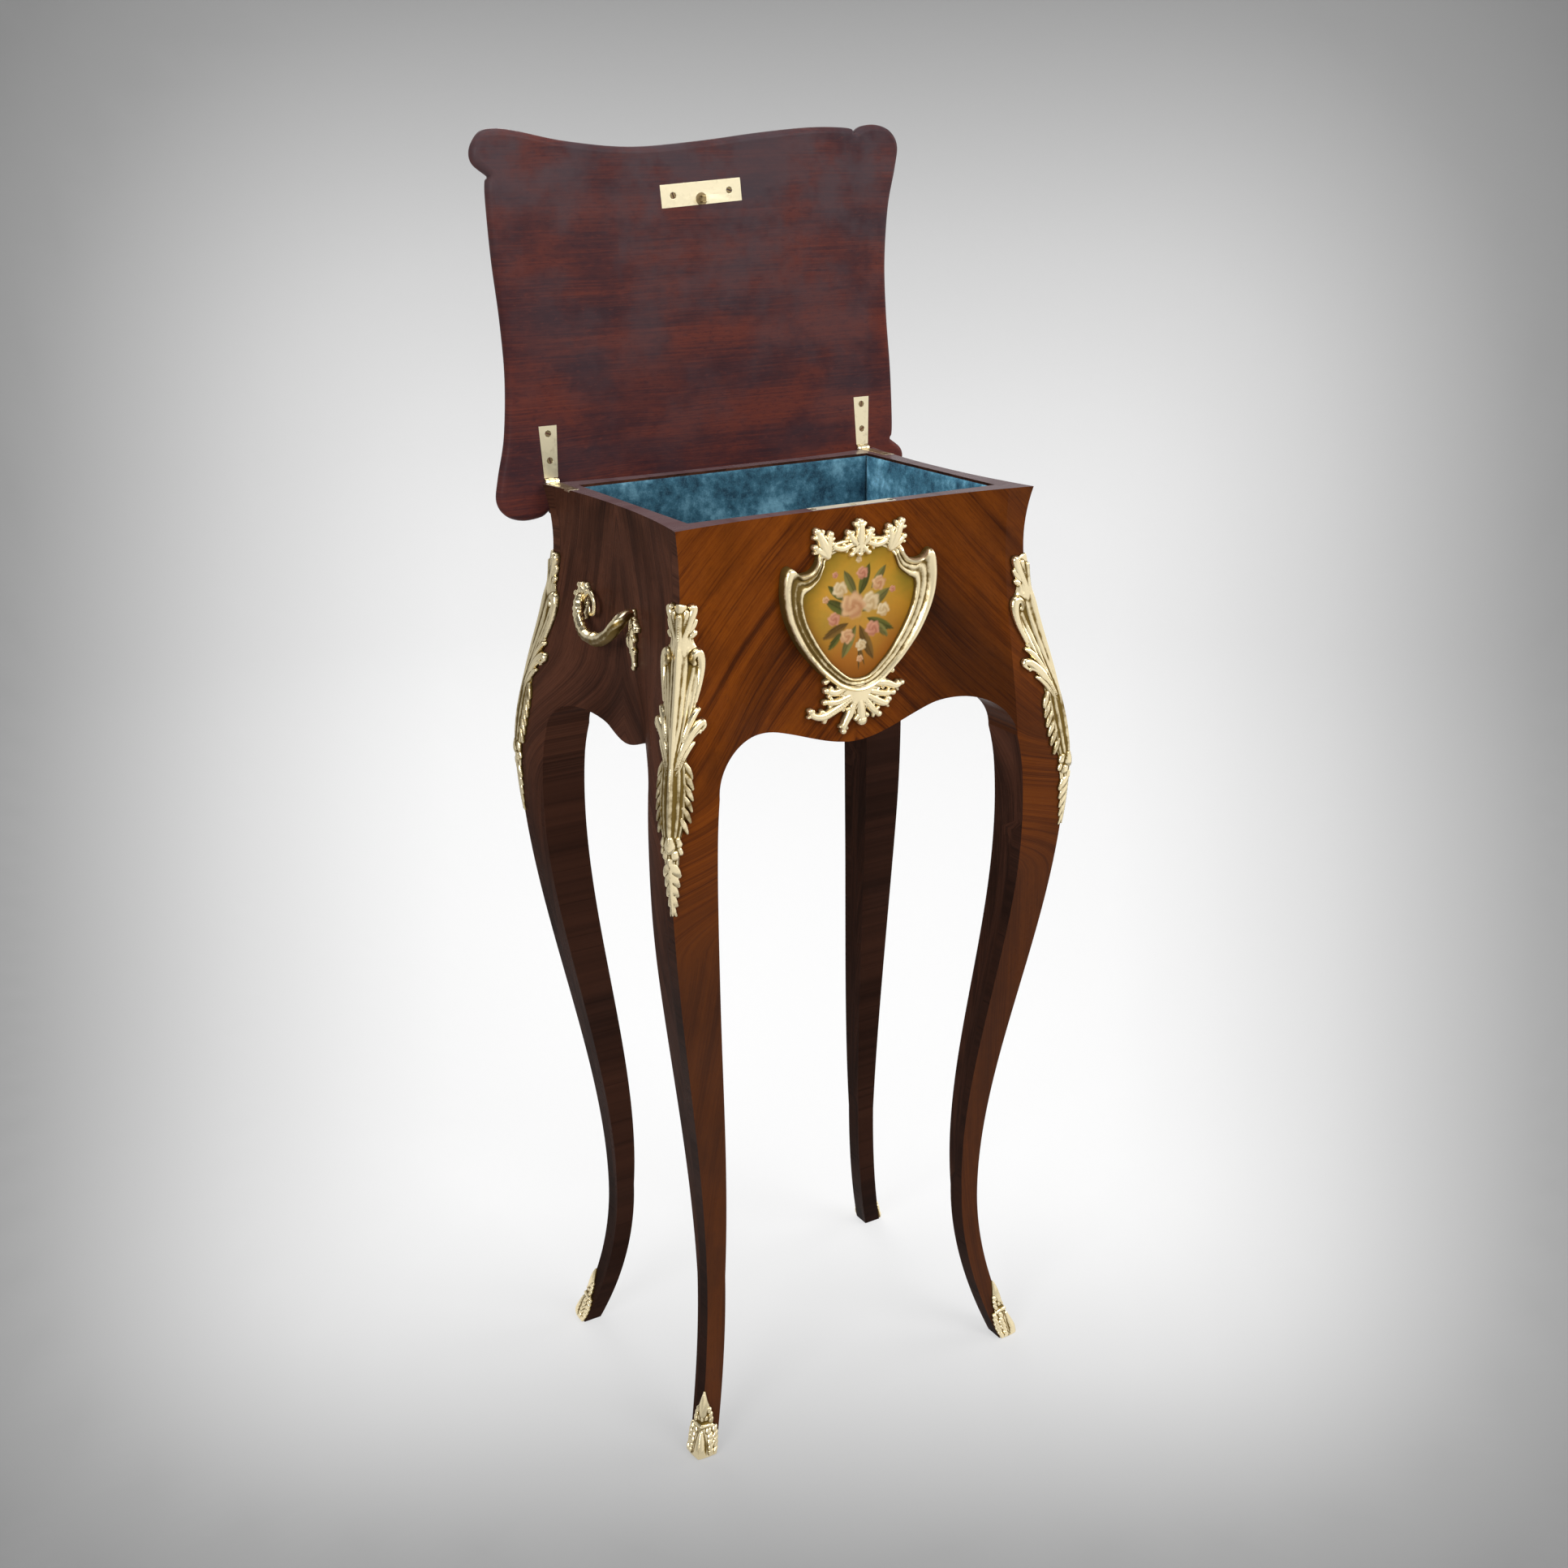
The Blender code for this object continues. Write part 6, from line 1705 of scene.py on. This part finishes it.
class TABLE_OT_case(bpy.types.Operator):
    """Lay the veneer on the case and legs"""

    bl_idname = "work_table.case"
    bl_label = "Case and legs"

    def execute(self, context):
        edge = context.scene.table_wood.edge
        for corner in CORNERS:
            make_leg(corner, edge)
        for side in PANEL_PLACES:
            make_panel(side)
        for node in ("bottom_board", "cleat_front", "cleat_back"):
            obj = dress(node, "case", FINISH["carcase"], edge)
            p = points_of(obj)
            note(obj, "grain", "FLOAT_VECTOR", np.column_stack([p[:, 1], p[:, 0], p[:, 2] * 40.0]))
        return {"FINISHED"}


class TABLE_OT_lid(bpy.types.Operator):
    """Finish the lid"""

    bl_idname = "work_table.lid"
    bl_label = "Lid"

    def execute(self, context):
        make_lid()
        return {"FINISHED"}


class TABLE_OT_velvet(bpy.types.Operator):
    """Line the well with velvet"""

    bl_idname = "work_table.velvet"
    bl_label = "Velvet"

    def execute(self, context):
        floor_low, floor_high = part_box("lining_floor")
        wall_low, wall_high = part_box("lining_front")
        x, y, z = floor_high.x, floor_high.y, floor_low.z
        low = wall_low.z - VELVET_LAP
        high = wall_high.z - low
        wide, deep = 2 * x, 2 * y - VELVET_CORNER
        make_lining("lining_floor", wide, 2 * y, lambda u, v, n: (u, v - y, z + n))
        # Painted light on the right wall and towards the right of the back wall
        for side, across, place, painted_light in (
            ("front", wide, lambda u, v, n: (u, n - y, low + v), (0.0, 0.0)),
            ("back", wide, lambda u, v, n: (u, y - n, low + v), (0.0, 0.3)),
            ("left", deep, lambda u, v, n: (n - x, u, low + v), (0.0, 0.0)),
            ("right", deep, lambda u, v, n: (x - n, u, low + v), (1.4, 1.4)),
        ):
            make_lining("lining_" + side, across, high, place, painted_light)
        return {"FINISHED"}


class TABLE_OT_corner_mounts(bpy.types.Operator):
    """Cast the four corner mounts"""

    bl_idname = "work_table.corner_mounts"
    bl_label = "Corner mounts"

    def execute(self, context):
        relief = chute_relief()
        for corner in CORNERS:
            cast_on_corner("corner_mount_" + corner, corner, relief, lambda d: RIM_H - CHUTE_DOWN - d)
        return {"FINISHED"}


class TABLE_OT_sabots(bpy.types.Operator):
    """Cast the four foot mounts"""

    bl_idname = "work_table.sabots"
    bl_label = "Foot mounts"

    def execute(self, context):
        relief = sabot_relief()
        for corner in CORNERS:
            cast_on_corner("sabot_" + corner, corner, relief, lambda up: up)
        return {"FINISHED"}


class TABLE_OT_cartouche(bpy.types.Operator):
    """Cast the frame on the front and paint its plaque"""

    bl_idname = "work_table.cartouche"
    bl_label = "Frame and plaque"

    def execute(self, context):
        make_cartouche()
        make_plaque()
        return {"FINISHED"}


class TABLE_OT_handles(bpy.types.Operator):
    """Cast the two side pulls"""

    bl_idname = "work_table.handles"
    bl_label = "Side pulls"

    def execute(self, context):
        for side in SIDES:
            make_handle(side)
        return {"FINISHED"}


class TABLE_OT_brasses(bpy.types.Operator):
    """Finish the hinges, lock, keep and screws"""

    bl_idname = "work_table.brasses"
    bl_label = "Hinges, lock and screws"

    def execute(self, context):
        edge = context.scene.table_gilt.edge
        lid = frame["record"]["behaviour"]["bodies"]["lid"]
        for number, node in enumerate(sorted(NODES)):
            body = "case"
            if node in lid:
                body = "lid"
            elif node == "lock_bolt":
                body = "bolt"
            if "screw" in node:
                make_screw(node, body, 0.7 + 0.9 * number)
            elif node.startswith(("hinge_", "handle_nut")) or node == "lock_bolt":
                self.tarnish(dress(node, body, FINISH["brass"], edge))
            elif node == "keep_plate":
                self.tarnish(dress(node, body, FINISH["keep"], edge))
            elif node == "lock_case":
                self.tarnish(dress(node, body, FINISH["plate"]))
            elif node.startswith("lock_"):
                self.tarnish(dress(node, body, FINISH["steel"]))
        return {"FINISHED"}

    @staticmethod
    def tarnish(obj):
        """An even film of tarnish."""
        note(obj, "hollow", "FLOAT", np.full(len(obj.data.vertices), BRASS_SOIL))


class TABLE_PT_panel(bpy.types.Panel):
    """Lists the steps that dress the table, and their settings"""

    bl_label = "Work Table"
    bl_idname = "TABLE_PT_panel"
    bl_space_type = "VIEW_3D"
    bl_region_type = "UI"
    bl_category = "Work Table"

    def draw(self, context):
        for step in STEPS:
            self.layout.operator(step.bl_idname)
        for group, settings in SETTINGS.items():
            box = self.layout.box()
            for name in settings.__annotations__:
                box.prop(getattr(context.scene, group), name)


STEPS = (
    TABLE_OT_stage, TABLE_OT_case, TABLE_OT_lid, TABLE_OT_velvet, TABLE_OT_corner_mounts, TABLE_OT_sabots,
    TABLE_OT_cartouche, TABLE_OT_handles, TABLE_OT_brasses,
)
SETTINGS = {
    "table_wood": WoodSettings, "table_gilt": GiltSettings, "table_velvet": VelvetSettings,
    "table_stage": StageSettings,
}


def register():
    """Registers the settings, the steps and the panel."""
    for name, group in SETTINGS.items():
        bpy.utils.register_class(group)
        setattr(bpy.types.Scene, name, PointerProperty(type=group))
    for step in (*STEPS, TABLE_PT_panel):
        bpy.utils.register_class(step)


def unregister():
    """Takes them all out again."""
    for step in (TABLE_PT_panel, *reversed(STEPS)):
        bpy.utils.unregister_class(step)
    for name, group in SETTINGS.items():
        delattr(bpy.types.Scene, name)
        bpy.utils.unregister_class(group)


def main():
    """Dresses the table step by step."""
    register()
    for step in STEPS:
        area, name = step.bl_idname.split(".")
        getattr(getattr(bpy.ops, area), name)()


if __name__ == "__main__":
    main()
